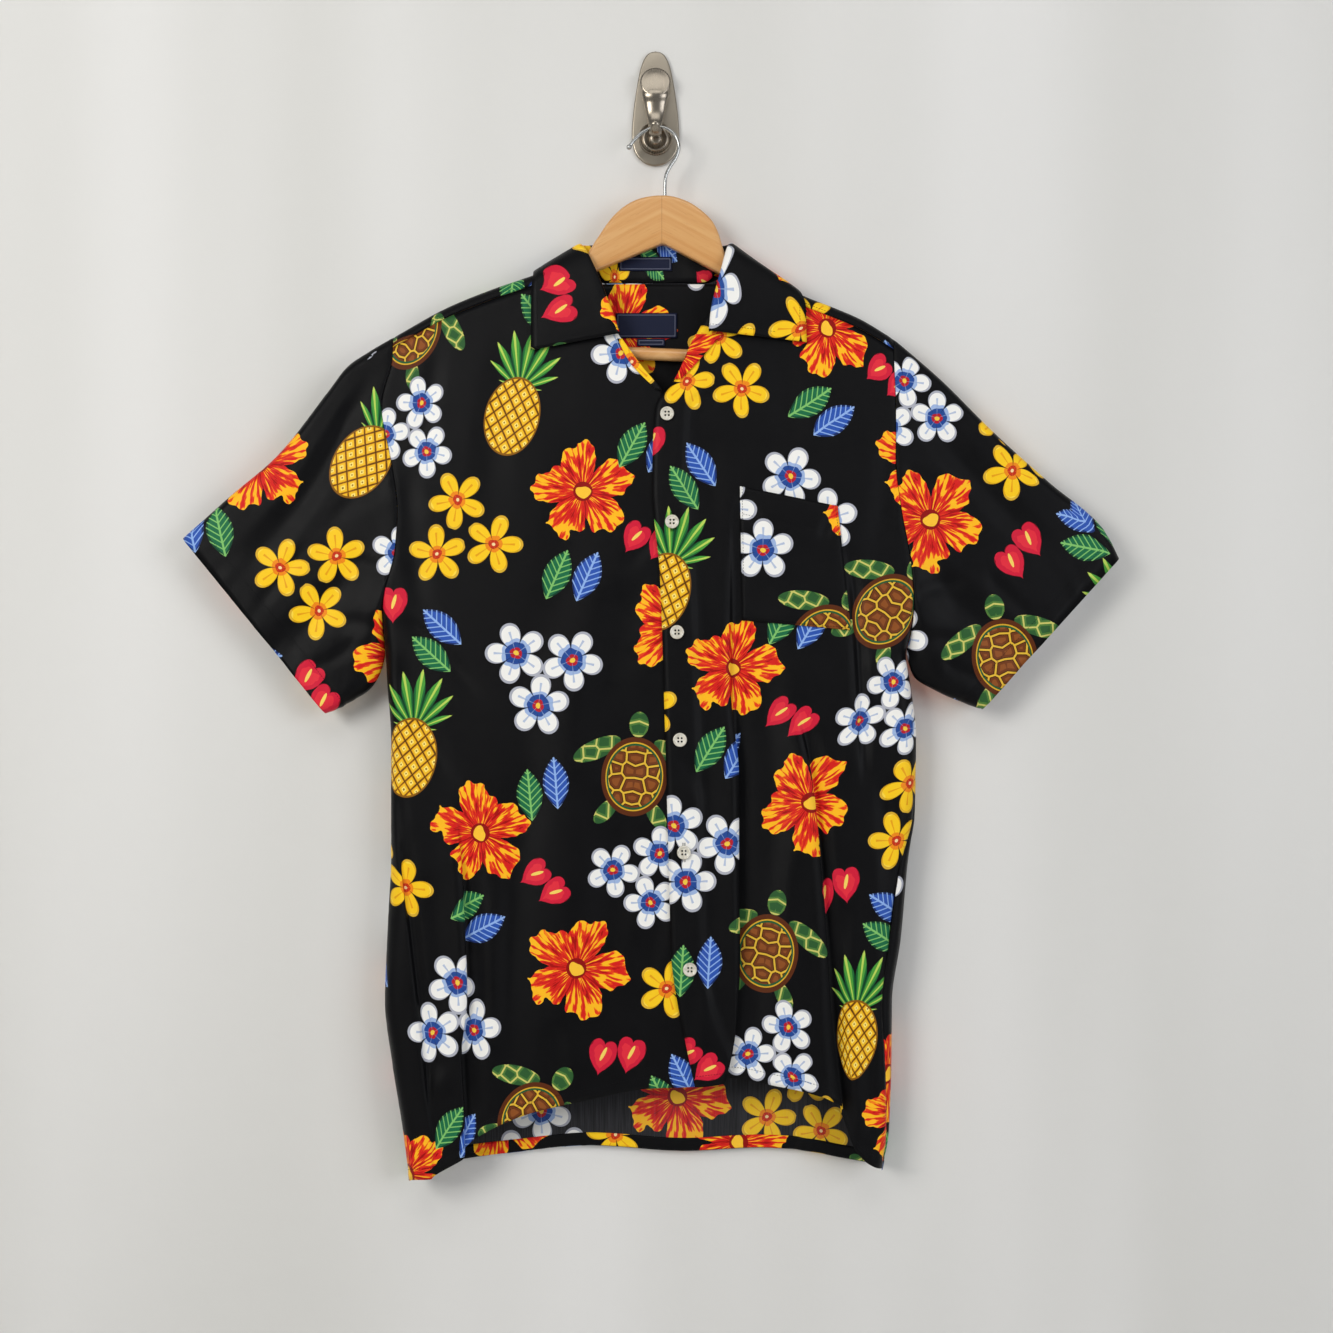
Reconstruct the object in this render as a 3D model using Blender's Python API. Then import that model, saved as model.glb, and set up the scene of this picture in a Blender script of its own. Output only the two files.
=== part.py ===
"""Short-sleeved hawaiian shirt, buttoned on a wooden hanger that hangs from a wall hook.

Frame: the origin is on the wall, in the middle of the back of the hook's plate. X runs to the viewer's
right, the shirt faces -Y, and Z is up. All sizes below are millimetres; the meshes are made in metres.
Left and right in the names are the wearer's, so the shirt's right front is on the viewer's left.
"""

import math

import bmesh
import bpy
import numpy as np

MM = 0.001
CLOTH = 1.5  # wall thickness of a cloth piece
SEAM = 0.3  # gap between two pieces that are sewn together
LAYER = 0.35  # gap between a piece and the piece that it lies on


def table(columns, *rows):
    """A small table: one dictionary a row, keyed by the names of its columns."""
    return [dict(zip(columns.split(), row)) for row in rows]


# ---------------------------------------------------------------- driving sizes
HANGER_Y = -24.0  # middle plane of the hanger
RIDGE_ROUND = 9.5  # radius with which the yoke turns over the hanger's arms
SHOULDER_SEAM = 11.0  # how far the front's top seam lies below the ridge of the shoulder
NECK_HALF = 68.0  # half the neck opening at the ridge
ARMPIT_Z = -510.0
YOKE_Z = -290.0  # seam between the yoke and the back
BACK_NECK_Z = -166.3
PLACKET_LIFT = 3.0  # how far the placket lies in front of the right front
PLACKET_WIDE, PLACKET_REACH = 26.0, 34.0  # the left front is lifted so up to there, and not beyond
PLACKET_TOP_Z = -256.0

# the top line of the shoulders, where the cloth turns over the hanger
RIDGE = table(
    "x z",
    (-262, -229),
    (-239, -217),
    (-192, -191),
    (-152, -174.5),
    (-113, -161),
    (-90, -152.5),
    (-80, -148),
    (-66, -139.5),
    (66, -139),
    (80, -149),
    (100, -161),
    (120, -171.5),
    (138, -180.5),
    (160, -189),
    (188, -201),
    (218, -219),
    (250, -238),
)

# the body's outline from the front, and how its sides round; above the armpit the
# outline only carries the rounding of the armhole's lower end
BODY = table(
    "z left right left_round right_round right_turn",
    (-217, -262, 240, 12, 12, 1.0),
    (-380, -262, 246, 12, 12, 1.0),
    (-452, -256, 243, 12, 12, 1.0),
    (-485, -250, 236, 12, 12, 1.0),
    (-510, -247.5, 230, 12, 12, 1.0),
    (-536, -246, 234, 13, 13, 1.0),
    (-587, -242.5, 239.5, 14, 14, 0.95),
    (-654, -242.5, 238, 14, 18, 0.7),
    (-700, -243, 231.5, 14, 22, 0.45),
    (-770, -246, 225, 14, 24, 0.35),
    (-826, -248, 217, 14, 22, 0.35),
    (-881, -241.5, 216.5, 14, 20, 0.45),
    (-940, -232, 214.5, 14, 18, 0.6),
    (-992, -225, 206, 14, 16, 0.8),
)

# how deep the shirt is, against the drop below the ridge of the shoulder
DEPTH = table(
    "drop front back",
    (0, -33.5, -14.5),
    (14, -33.5, -14.5),
    (60, -35.5, -13.5),
    (150, -39.0, -11.5),
    (300, -42.0, -9.5),
    (500, -44.0, -8.5),
    (760, -47.0, -8.0),
    (860, -48.0, -8.0),
)

# the armholes' edges on the fronts, the yoke and the back, measured along the cloth
ARMHOLE = table(
    "z left right",
    (-217, -240, 218),
    (-234, -240, 218),
    (-281, -250, 219.5),
    (-332, -241, 219.5),
    (-378, -235, 224.5),
    (-413, -237, 231),
    (-452, -247, 236),
    (-485, -254, 238.5),
)

# inner edges of the fronts: neckline, lapel, then placket
RIGHT_FRONT_EDGE = table(
    "z x",
    (-148, -71),
    (-175, -60),
    (-196, -47),
    (-217, -33.5),
    (-247, -12),
    (-272, 8),
    (-300, 19),
    (-340, 21),
    (-400, 23),
    (-550, 31),
    (-806, 39),
    (-920, 52),
)
LEFT_FRONT_EDGE = table(
    "z x",
    (-148, 71),
    (-175, 62),
    (-192, 53),
    (-203, 45),
    (-226, 33),
    (-255, 20),
    (-268, 11),
    (-279, 1),
    (-300, -1.5),
    (-360, -3),
    (-387, -1),
    (-433, 4),
    (-550, 8),
    (-712, 12.5),
    (-781, 14.3),
    (-806, 17),
    (-859, 27),
    (-920, 40),
)

FRONT_HEM = table(
    "x z",
    (-262, -991),
    (-240, -991),
    (-220, -986),
    (-205, -984),
    (-185, -969),
    (-165, -950),
    (-141, -936),
    (-106, -923),
    (-57, -912),
    (-7, -903),
    (38, -901),
    (68, -894),
    (106, -900),
    (148, -910),
    (168, -925),
    (181, -958),
    (193, -971),
    (204, -976),
    (225, -980),
)
BACK_HEM = table(
    "x z",
    (-262, -991),
    (-225, -990),
    (-181, -977),
    (-144, -972),
    (-60, -964),
    (26, -969),
    (97, -966),
    (139, -969),
    (176, -976),
    (207, -980),
    (260, -980),
)

# Folds of the hanging cloth. A fold is a valley that follows its path; its lip is the
# width of the steep side, its tail the width of the soft side. Above `start` and below
# `end` it fades out over `fade`. A negative depth is a ridge.
FOLD_COLUMNS = "name panel depth lip tail start end fade path"
FOLDS = table(
    FOLD_COLUMNS,
    ("placket_fold", "left_front", 9, 4, 58, -350, -1000, 260,
     ((-150, 110), (-350, 71), (-712, 71), (-781, 72), (-850, 68), (-920, 52))),
    ("pocket_fold", "left_front", 7, 7, 16, -541, -1000, 90,
     ((-150, 160), (-541, 131), (-602, 140), (-700, 150), (-777, 156), (-840, 160), (-920, 169))),
    ("side_fold_right", "left_front", 5, 6, 10, -400, -640, 80,
     ((-150, 190), (-376, 169), (-451, 181), (-560, 188), (-700, 192), (-790, 186), (-920, 184))),
    ("belly_ridge", "right_front", -4, 45, 60, -420, -1000, 160,
     ((-150, -100), (-500, -75), (-920, -88))),
    ("left_valley", "right_front", 7, 8, 22, -634, -1000, 110,
     ((-150, -160), (-634, -177), (-762, -173), (-822, -171), (-870, -176), (-925, -173))),
    ("side_crease", "right_front", 4, 9, 12, -660, -980, 70,
     ((-150, -205), (-640, -226), (-696, -228), (-756, -222), (-850, -211), (-960, -200))),
    ("back_pleat", "back", 6, 14, 34, -360, -1000, 200,
     ((-150, -70), (-290, -72), (-640, -92), (-990, -108))),
    ("back_roll", "back", 5, 30, 26, -420, -1000, 200,
     ((-150, 30), (-290, 30), (-600, 22), (-990, 44))),
    ("back_side", "back", 5, 12, 26, -560, -1000, 120,
     ((-150, 140), (-290, 142), (-640, 150), (-990, 138))),
)

# sleeves, ring by ring from the armhole to the hem
RIGHT_SLEEVE = table(
    "along top_x top_z under_x under_z half mid_y",
    (0.00, -238.3, -217, -248, -510, 9.5, -24),
    (0.14, -262, -231, -253, -527, 10, -24.5),
    (0.26, -281, -244, -262, -541, 10.5, -25),
    (0.38, -300, -268, -272, -548, 10.5, -25.5),
    (0.60, -346, -326, -286, -556, 10.5, -26),
    (0.80, -390, -364, -295, -560, 10, -26.5),
    (1.00, -432.5, -402.4, -302.4, -562.6, 9, -27),
)
LEFT_SLEEVE = table(
    "along top_x top_z under_x under_z half mid_y",
    (0.00, 218.3, -219, 230.5, -510, 9.5, -24),
    (0.14, 236, -234, 238, -530, 10, -24.5),
    (0.30, 262, -257, 253, -540, 10.5, -25),
    (0.55, 310, -305, 274, -550, 10.5, -26),
    (0.78, 362, -352, 288, -555, 10, -26.5),
    (0.94, 410, -393, 297, -558, 9, -27),
    (1.00, 424.5, -420.7, 300, -558.5, 9, -27),
)

# how the sleeves' cloth dents, against the way up from the underarm and along the arm
SLEEVE_FOLDS = table(
    "name side depth width at_armhole at_hem start end",
    ("right_cap", "right", 3.2, 0.10, 0.86, 0.70, 0.05, 0.95),
    ("right_under", "right", 3.0, 0.12, 0.40, 0.34, 0.10, 1.30),
    ("left_cap", "left", 3.2, 0.10, 0.84, 0.74, 0.05, 0.90),
    ("left_under", "left", 3.0, 0.12, 0.36, 0.30, 0.10, 1.30),
)

# the collar, section by section from its right end to its left end: the seam at the
# neckline, the roll, and the leaf's outer edge; `out` is the side that the leaf lies on
COLLAR = table(
    "at seam_x seam_y seam_z roll_x roll_y roll_z edge_x edge_y edge_z out_x out_y out_z",
    (0.0, -42, -38.0, -208, -33, -38.6, -217, -113.5, -40.2, -232, 0, -1, 0),
    (0.5, -46, -37.0, -198, -39, -38.4, -200, -113.4, -39.8, -214, 0, -1, 0),
    (1.0, -50, -36.0, -189, -46, -38.0, -181, -113.2, -39.4, -193, -0.1, -1, 0.1),
    (1.7, -59, -35.2, -172, -53.5, -36.5, -161, -112.6, -38.4, -170, -0.3, -1, 0.4),
    (2.5, -66, -31.8, -146.5, -62.5, -31, -140.5, -111.6, -33.5, -161.5, -0.8, -0.5, 0.7),
    (3.1, -67, -24, -137.8, -66.5, -23.5, -134.5, -111.5, -22.5, -156.6, -0.9, -0.1, 0.6),
    (3.6, -66, -16.6, -141, -66.0, -16, -133.5, -111, -13.5, -160.5, -0.7, 0.7, 0.5),
    (4.1, -60.6, -15.6, -149, -61.0, -14.0, -132.5, -108, -10.2, -168.0, -0.3, 1, 0.2),
    (4.8, -45, -15.05, -165.2, -47, -14.4, -131, -84, -9.8, -178, 0, 1, 0),
    (6.0, 0, -15.05, -165.9, 0, -14.4, -128, 0, -9.8, -184, 0, 1, 0),
    (7.2, 45, -15.05, -165.2, 47, -14.4, -131, 86, -9.8, -182, 0, 1, 0),
    (7.9, 60.6, -15.6, -149, 60.6, -14.0, -132.5, 114, -10.0, -182, 0.3, 1, 0.2),
    (8.4, 66, -16.6, -141, 65.5, -16, -133, 120, -13.0, -173, 0.7, 0.7, 0.5),
    (8.9, 67, -24, -137.8, 66.4, -23.5, -133.8, 126, -22.0, -171.2, 0.9, -0.1, 0.6),
    (9.5, 66, -31.8, -146.5, 64.6, -31, -138.5, 133, -34.0, -178.5, 0.8, -0.5, 0.7),
    (10.3, 60.5, -35.2, -172, 59.5, -36.5, -161, 137, -38.0, -190, 0.3, -1, 0.4),
    (11.0, 56, -36.0, -186, 54.5, -38.0, -181, 137.5, -39.2, -202, 0.1, -1, 0.1),
    (11.5, 58, -37.0, -195, 51.5, -38.4, -198, 137.6, -39.6, -213, 0, -1, 0),
    (12.0, 59, -38.0, -206, 49.5, -38.6, -214.5, 137.8, -40.0, -224.5, 0, -1, 0),
)
COLLAR_ROLL = 2.3  # radius of the fold at the collar's roll

LAPELS = table(
    "name panel thick stands z_top z_bottom width_top width_mid width_bottom",
    ("lapel_right", "right_front", 1.0, 0.35, -221, -268, 4, 8, 5),
    ("lapel_left", "left_front", 1.0, 0.8, -217, -258, 24, 15, 5),
)

BUTTONS = table(
    "name x z",
    ("button_1", 10.7, -290),
    ("button_2", 15.2, -388.4),
    ("button_3", 19.7, -488.8),
    ("button_4", 22.4, -586.5),
    ("button_5", 26.0, -688.6),
    ("button_6", 31.4, -794.4),
)
BUTTON_WIDE, BUTTON_THICK, BUTTON_RIM, BUTTON_HOLE, BUTTON_PITCH = 12.7, 2.8, 1.6, 1.7, 3.0
BUTTON_SIDES = 16

POCKET = table(
    "corner x z",
    ("top_inner", 77, -356),
    ("top_outer", 166, -374),
    ("bottom_inner", 79, -478),
    ("bottom_outer", 178, -487),
)

POCKET_THICK = 1.2
POCKET_STANDS = 0.5  # how far the pocket's back stands off the uneven front

LABELS = table(
    "name left right top bottom",
    ("neck_label", -36.5, 19.9, -194, -217),
    ("size_tab", -17, 8.8, -217.6, -224.5),
)
LABEL_THICK = 0.8
CARE_LABEL = {"left": -33.7, "right": 15.3, "top": -142, "bottom": -155, "y": -16.7}
LINING_THICK = 1.0
LINING_SPAN = (-205, 188)

# the hanger's wood from the front; hidden under the cloth it follows the ridge
WOOD_THICK, WOOD_EDGE = 12.0, 2.2
WOOD_TOP = table(
    "x z",
    (-192, -199),
    (-184, -192.5),
    (-168, -186),
    (-152, -179),
    (-113, -165.5),
    (-80, -154.4),
    (-66, -146.2),
    (-54, -128),
    (-38, -106),
    (-18, -92),
    (8, -87.8),
    (30, -93.5),
    (48, -106.5),
    (57, -120),
    (66, -145.8),
    (80, -155.2),
    (100, -165.6),
    (138, -185.1),
    (165, -195.5),
    (190, -206.8),
    (204, -215),
    (210, -222),
)
WOOD_UNDER = table(
    "x z",
    (210, -250),
    (204, -255),
    (196, -256),
    (196, -230),
    (165, -214),
    (138, -205),
    (100, -184),
    (80, -172),
    (57, -158.5),
    (7, -132),
    (-54, -157),
    (-80, -171),
    (-113, -188),
    (-150, -206),
    (-178, -215),
    (-178, -240),
    (-187, -239),
    (-192, -234),
)
BAR_WIDE = 11.6
BAR_ENDS = table("x z", (-177.7, -226.0), (195.7, -241.0))

# the steel hook of the hanger, from the ball at its tip down to the wood
WIRE_WIDE, BALL_WIDE = 3.2, 5.0
WIRE = table(
    "x z",
    (-24.2, -42.8),
    (-19.8, -36.8),
    (-13.6, -30.6),
    (-7.0, -26.6),
    (0.0, -24.3),
    (7.6, -24.8),
    (14.6, -28.4),
    (19.6, -34.4),
    (21.6, -42.6),
    (19.0, -52.2),
    (13.6, -60.6),
    (9.8, -68.6),
    (8.9, -77.0),
    (8.8, -87.4),
)

# the wall hook: an oval plate, and a prong that bends out of it and up at its tip
PLATE_THICK = 4.0
PLATE = table(
    "z half",
    (52, 0),
    (50.5, 5.5),
    (46, 10),
    (36, 14.0),
    (20, 17.2),
    (0, 20.2),
    (-18, 21.8),
    (-32, 21.9),
    (-44, 18.4),
    (-51.5, 11),
    (-54, 5),
    (-54.8, 0),
)
PRONG = table(
    "z y half_x half_y",
    (36, -6.2, 8.0, 2.0),
    (30, -7.4, 12.5, 3.0),
    (16, -9.2, 14.0, 3.6),
    (1, -10.8, 13.2, 3.6),
    (-11, -12.6, 11.0, 3.4),
    (-20, -15.2, 8.2, 3.2),
    (-27.0, -18.8, 6.6, 3.0),
    (-30.0, -24.0, 5.8, 2.9),
    (-28.9, -29.2, 5.2, 2.7),
    (-25.2, -33.2, 4.4, 2.4),
    (-21.5, -35.8, 2.6, 1.6),
)

# the neckline of the yoke from the middle to the shoulder: the way from the middle, and
# how high the cloth reaches up the back and on over the ridge
YOKE_NECK = table(
    "s height",
    (0, BACK_NECK_Z),
    (24, BACK_NECK_Z),
    (46, BACK_NECK_Z),
    (56, -163.5),
    (62.5, -158.5),
    (66, -150),
    (67.2, -144.5),
    (67.9, -139),
    (68.5, -132.5),
    (69.5, -126.5),
)
# how much farther out the columns start at the yoke's seam, inside and outside the neckline
NECK_LEAN, SHOULDER_LEAN = 24.0, 31.0

# how finely the walls are cut
UPPER_ROWS, LOWER_ROWS, YOKE_ROWS, WRAP_ROWS = 14, 13, 5, 4
COLUMN = 27.0
SLEEVE_RINGS = 7
COLLAR_STATIONS = 30

COLOURS = table(
    "name red green blue roughness metallic",
    ("cloth_print", 0.020, 0.019, 0.021, 0.62, 0.0),
    ("cloth_collar", 0.150, 0.020, 0.012, 0.62, 0.0),
    ("cloth_label", 0.012, 0.016, 0.045, 0.55, 0.0),
    ("ivory_resin", 0.800, 0.760, 0.640, 0.28, 0.0),
    ("honey_wood", 0.700, 0.420, 0.190, 0.34, 0.0),
    ("bright_steel", 0.620, 0.620, 0.600, 0.22, 1.0),
    ("satin_nickel", 0.500, 0.480, 0.440, 0.34, 1.0),
)


# ---------------------------------------------------------------- reading tables
def smooth(rows, at, value):
    """A smooth curve without overshoot through one column of a table, read against another."""
    pairs = sorted((row[at], row[value]) for row in rows)
    known = np.array([pair[0] for pair in pairs], float)
    level = np.array([pair[1] for pair in pairs], float)
    rise = np.diff(level) / np.diff(known)
    slope = np.zeros(len(known))
    both = rise[:-1] * rise[1:]
    same = both > 0
    slope[1:-1][same] = 2 * both[same] / (rise[:-1] + rise[1:])[same]
    slope[0], slope[-1] = rise[0], rise[-1]

    def read(position):
        place = np.clip(np.asarray(position, float), known[0], known[-1])
        i = np.clip(np.searchsorted(known, place) - 1, 0, len(known) - 2)
        span = known[i + 1] - known[i]
        t = (place - known[i]) / span
        return (
            (1 + 2 * t) * (1 - t) ** 2 * level[i]
            + t * (1 - t) ** 2 * span * slope[i]
            + t * t * (3 - 2 * t) * level[i + 1]
            + t * t * (t - 1) * span * slope[i + 1]
        )

    return read


def ease(t):
    """A soft step from 0 to 1."""
    t = np.clip(t, 0, 1)
    return t * t * (3 - 2 * t)


ridge_z = smooth(RIDGE, "x", "z")
depth_front = smooth(DEPTH, "drop", "front")
depth_back = smooth(DEPTH, "drop", "back")
outline = {side: smooth(BODY, "z", side) for side in ("left", "right")}
rounding = {side: smooth(BODY, "z", side + "_round") for side in ("left", "right")}
right_turn = smooth(BODY, "z", "right_turn")
front_hem = smooth(FRONT_HEM, "x", "z")
back_hem = smooth(BACK_HEM, "x", "z")
front_edge = {
    "right_front": smooth(RIGHT_FRONT_EDGE, "z", "x"),
    "left_front": smooth(LEFT_FRONT_EDGE, "z", "x"),
}
for fold in FOLDS:
    fold["line"] = smooth([{"z": z, "x": x} for z, x in fold["path"]], "z", "x")


# ---------------------------------------------------------------- the hanging cloth
def fold_depth(panel, x, z):
    """How far the folds of one panel push the cloth in at a place."""
    pushed = 0.0
    for fold in FOLDS:
        if fold["panel"] != panel:
            continue
        away = x - fold["line"](z)
        across = np.where(away < 0, 1 + away / fold["lip"], 1 - away / fold["tail"])
        fade = ease((fold["start"] - z) / fold["fade"]) * ease((z - fold["end"]) / fold["fade"])
        pushed = pushed + fold["depth"] * ease(across) * fade
    return pushed


def side_shape(s, z):
    """The flat half width on this side, the rounding of its edge, and the middle and half of the depth."""
    left = s < 0
    round_x = np.where(left, rounding["left"](z), rounding["right"](z))
    flat = np.where(left, -outline["left"](z), outline["right"](z)) - round_x
    place = np.where(left, -1, 1) * np.minimum(np.abs(s), flat)
    drop = ridge_z(place) - z
    front, back = depth_front(drop), depth_back(drop)
    return flat, round_x, (front + back) / 2, (back - front) / 2


def quarter_length(round_x, half):
    """The length of the cloth round a quarter of the side's rounding."""
    return math.pi / 2 * np.sqrt((round_x**2 + half**2) / 2)


def body_point(panel, s, z):
    """Points of the outer cloth: s runs along the cloth from the middle, z is the height."""
    s, z = np.broadcast_arrays(np.asarray(s, float), np.asarray(z, float))
    face = 1 if panel in ("back", "yoke") else -1
    flat, round_x, middle, half = side_shape(s, z)
    turn = np.maximum(0, (np.abs(s) - flat) / quarter_length(round_x, half)) * math.pi / 2
    x = np.sign(s) * (np.minimum(np.abs(s), flat) + round_x * np.sin(turn))
    pushed = fold_depth(panel, s, z) * np.maximum(0, np.cos(turn))
    y = middle + face * (half * np.cos(turn) - pushed)
    if panel == "left_front":
        over = (front_edge[panel](z) + PLACKET_REACH - s) / (PLACKET_REACH - PLACKET_WIDE)
        y = y - PLACKET_LIFT * ease(over) * ease((PLACKET_TOP_Z - z) / 20)
    return np.stack([x, y, z], axis=-1)


def yoke_point(s, height):
    """Points of the yoke: height runs up the back, over the ridge and down the front."""
    s, height = np.broadcast_arrays(np.asarray(s, float), np.asarray(height, float))
    start = ridge_z(s) - RIDGE_ROUND
    on_back = body_point("yoke", s, np.minimum(height, start))
    angle = np.clip((height - start) / RIDGE_ROUND, 0, math.pi)
    past = np.maximum(0, height - start - math.pi * RIDGE_ROUND)
    y = np.where(height > start, HANGER_Y + RIDGE_ROUND * np.cos(angle), on_back[..., 1])
    z = np.where(height > start, start + RIDGE_ROUND * np.sin(angle) - past, height)
    return np.stack([on_back[..., 0], y, z], axis=-1)


def facing(panel):
    """1 where the cross product of a panel's s and z axes points out of the shirt, else -1."""
    return -1 if panel in ("back", "yoke") else 1


def inside(surface, s, t, thick, out):
    """Points of a surface moved in by a thickness; `out` (1 or -1) says which way it faces."""
    step = 0.4
    along = surface(s + step, t) - surface(s - step, t)
    up = surface(s, t + step) - surface(s, t - step)
    normal = np.cross(along, up)
    normal /= np.linalg.norm(normal, axis=-1, keepdims=True)
    return surface(s, t) - out * thick * normal


def side_seam(side, z, face):
    """Where the side seam lies, measured along the cloth of the front (-1) or the back (1)."""
    sign = -1 if side == "left" else 1
    flat, round_x, _, half = side_shape(sign * 400.0, z)
    turn = 1.0 if side == "left" else float(right_turn(z))
    turn = 2.0 - turn if face > 0 else turn
    return sign * float(flat + quarter_length(round_x, half) * turn - SEAM / 2)


ARMHOLE_LINE = {
    (side, face): smooth(
        [{"z": row["z"], "s": row[side]} for row in ARMHOLE]
        + [{"z": ARMPIT_Z, "s": side_seam(side, ARMPIT_Z, face)}],
        "z",
        "s",
    )
    for side in ("left", "right")
    for face in (-1, 1)
}


def side_edge(side, z, face):
    """A panel's outer edge: the armhole above the armpit, the side seam below."""
    if z >= ARMPIT_Z:
        return float(ARMHOLE_LINE[side, face](z))
    return side_seam(side, z, face)


# ---------------------------------------------------------------- grids of points
def spaced(guides):
    """Positions between neighbouring guides, as (guide number, share of the way to the next)."""
    marks = []
    for number, (one, two) in enumerate(zip(guides, guides[1:])):
        count = max(1, round(abs(two - one) / COLUMN))
        marks += [(number, step / count) for step in range(count)]
    return marks + [(len(guides) - 1, 0.0)]


def panel_guides(panel, z):
    """The lines that a panel's columns follow at one height, from its left to its right."""
    lines = []
    for fold in FOLDS:
        if fold["panel"] == panel:
            line = float(fold["line"](z))
            lines += [line - fold["lip"], line, line + min(fold["tail"], 12)]
    face = 1 if panel == "back" else -1
    for side, sign in (("left", -1), ("right", 1)):
        if panel == side + "_front":
            continue  # the wearer's left front has its side on the viewer's right
        edge = side_edge(side, z, face)
        flat = float(side_shape(sign * 400.0, z)[0])
        first = sign * min(flat, abs(edge) - 6)
        lines += [first, (first + edge) / 2, edge]
    if panel != "back":
        inner = float(front_edge[panel](z))
        lines.append(inner)
        if panel == "left_front":
            lines += [inner + PLACKET_WIDE, inner + PLACKET_REACH]
    return np.array(sorted(lines))


def at_mark(guides, mark):
    number, share = mark
    if share == 0.0:
        return float(guides[number])
    return float(guides[number] * (1 - share) + guides[number + 1] * share)


def settle(panel, mark, boundary, start):
    """Where a column meets a boundary that is given as a height against the width."""
    z = start
    for _ in range(12):
        z = float(boundary(at_mark(panel_guides(panel, z), mark)))
    return z


def shoulder_seam_z(s):
    return ridge_z(s) - SHOULDER_SEAM


def front_heights(high, low):
    """The heights of a front's rows: from the shoulder seam to the armpit and on to the hem."""
    upper = [high + (ARMPIT_Z - high) * k / UPPER_ROWS for k in range(UPPER_ROWS)]
    return upper + [ARMPIT_Z + (low - ARMPIT_Z) * k / LOWER_ROWS for k in range(LOWER_ROWS + 1)]


def back_heights(low):
    """The heights of the back's rows: from the yoke seam to the armpit and on to the hem."""
    high = YOKE_Z - SEAM / 2
    count = UPPER_ROWS - YOKE_ROWS
    upper = [high + (ARMPIT_Z - high) * k / count for k in range(count)]
    return upper + [ARMPIT_Z + (low - ARMPIT_Z) * k / LOWER_ROWS for k in range(LOWER_ROWS + 1)]


def yoke_heights(s):
    """The heights of the yoke's rows where it turns over the ridge: up to the shoulder seam."""
    low = YOKE_Z + SEAM / 2
    start = float(ridge_z(s)) - RIDGE_ROUND
    end = start + math.pi * RIDGE_ROUND + SHOULDER_SEAM - RIDGE_ROUND - SEAM
    rows = [low + (start - low) * k / YOKE_ROWS for k in range(YOKE_ROWS)]
    return rows + [start + (end - start) * k / WRAP_ROWS for k in range(WRAP_ROWS + 1)]


def wall_grid(surface, places, out):
    """Outer and inner points of a wall through (s, height) places, column by column."""
    grid = np.array(places, float)
    outer = surface(grid[..., 0], grid[..., 1])
    return outer, inside(surface, grid[..., 0], grid[..., 1], CLOTH, out)


def panel_places(panel, heights, top, hem):
    """The (s, height) places of a panel whose columns follow its guides."""
    columns = []
    for mark in spaced(panel_guides(panel, -600.0)):
        high = settle(panel, mark, top, -200.0) if top else None
        low = settle(panel, mark, hem, -940.0)
        rows = heights(high, low) if top else heights(low)
        columns.append([(at_mark(panel_guides(panel, z), mark), z) for z in rows])
    return columns


def front_places(panel):
    return panel_places(panel, front_heights, shoulder_seam_z, front_hem)


def neck_column(sign, s, high):
    """A column of the yoke that ends at the neckline; it leans outwards towards the yoke's seam."""
    low = YOKE_Z + SEAM / 2
    turn = min(float(ridge_z(s)) - RIDGE_ROUND, high - 8)
    rows = [low + (turn - low) * k / YOKE_ROWS for k in range(YOKE_ROWS)]
    rows += [turn + (high - turn) * k / WRAP_ROWS for k in range(WRAP_ROWS + 1)]
    lean = NECK_LEAN * s / NECK_HALF
    return [(sign * (s + lean * max(0.0, (turn - height) / (turn - low))), height) for height in rows]


def shoulder_column(side, s):
    """A column of the yoke that ends at a front's shoulder seam."""
    sign = -1 if side == "left" else 1
    shoulder = side_edge(side, -217.0, 1)
    near_edge = max(0.0, 1 - abs(shoulder - s) / 60)
    near_neck = max(0.0, 1 - (abs(s) - NECK_HALF) / 90)
    rows = yoke_heights(s)
    column = []
    for height in rows:
        shift = side_edge(side, min(height, -217.0), 1) - shoulder
        lean = sign * SHOULDER_LEAN * max(0.0, (rows[YOKE_ROWS] - height) / (rows[YOKE_ROWS] - rows[0]))
        column.append((s + shift * near_edge + lean * near_neck, height))
    return column


def yoke_places(shoulders):
    """The yoke's columns: those of the fronts' shoulder seams, and finer ones round the neck."""
    left = [shoulder_column("left", s) for s in sorted(shoulders) if s < 0]
    right = [shoulder_column("right", s) for s in sorted(shoulders) if s > 0]
    neck = [neck_column(-1, row["s"], row["height"]) for row in reversed(YOKE_NECK[1:])]
    neck += [neck_column(1, row["s"], row["height"]) for row in YOKE_NECK]
    return left + neck + right


# ---------------------------------------------------------------- making meshes
def material(name):
    found = bpy.data.materials.get(name)
    if found:
        return found
    row = next(row for row in COLOURS if row["name"] == name)
    made = bpy.data.materials.new(name)
    made.use_nodes = True
    surface = made.node_tree.nodes["Principled BSDF"]
    surface.inputs["Base Color"].default_value = (row["red"], row["green"], row["blue"], 1)
    surface.inputs["Roughness"].default_value = row["roughness"]
    surface.inputs["Metallic"].default_value = row["metallic"]
    made.diffuse_color = (row["red"], row["green"], row["blue"], 1)
    return made


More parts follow.
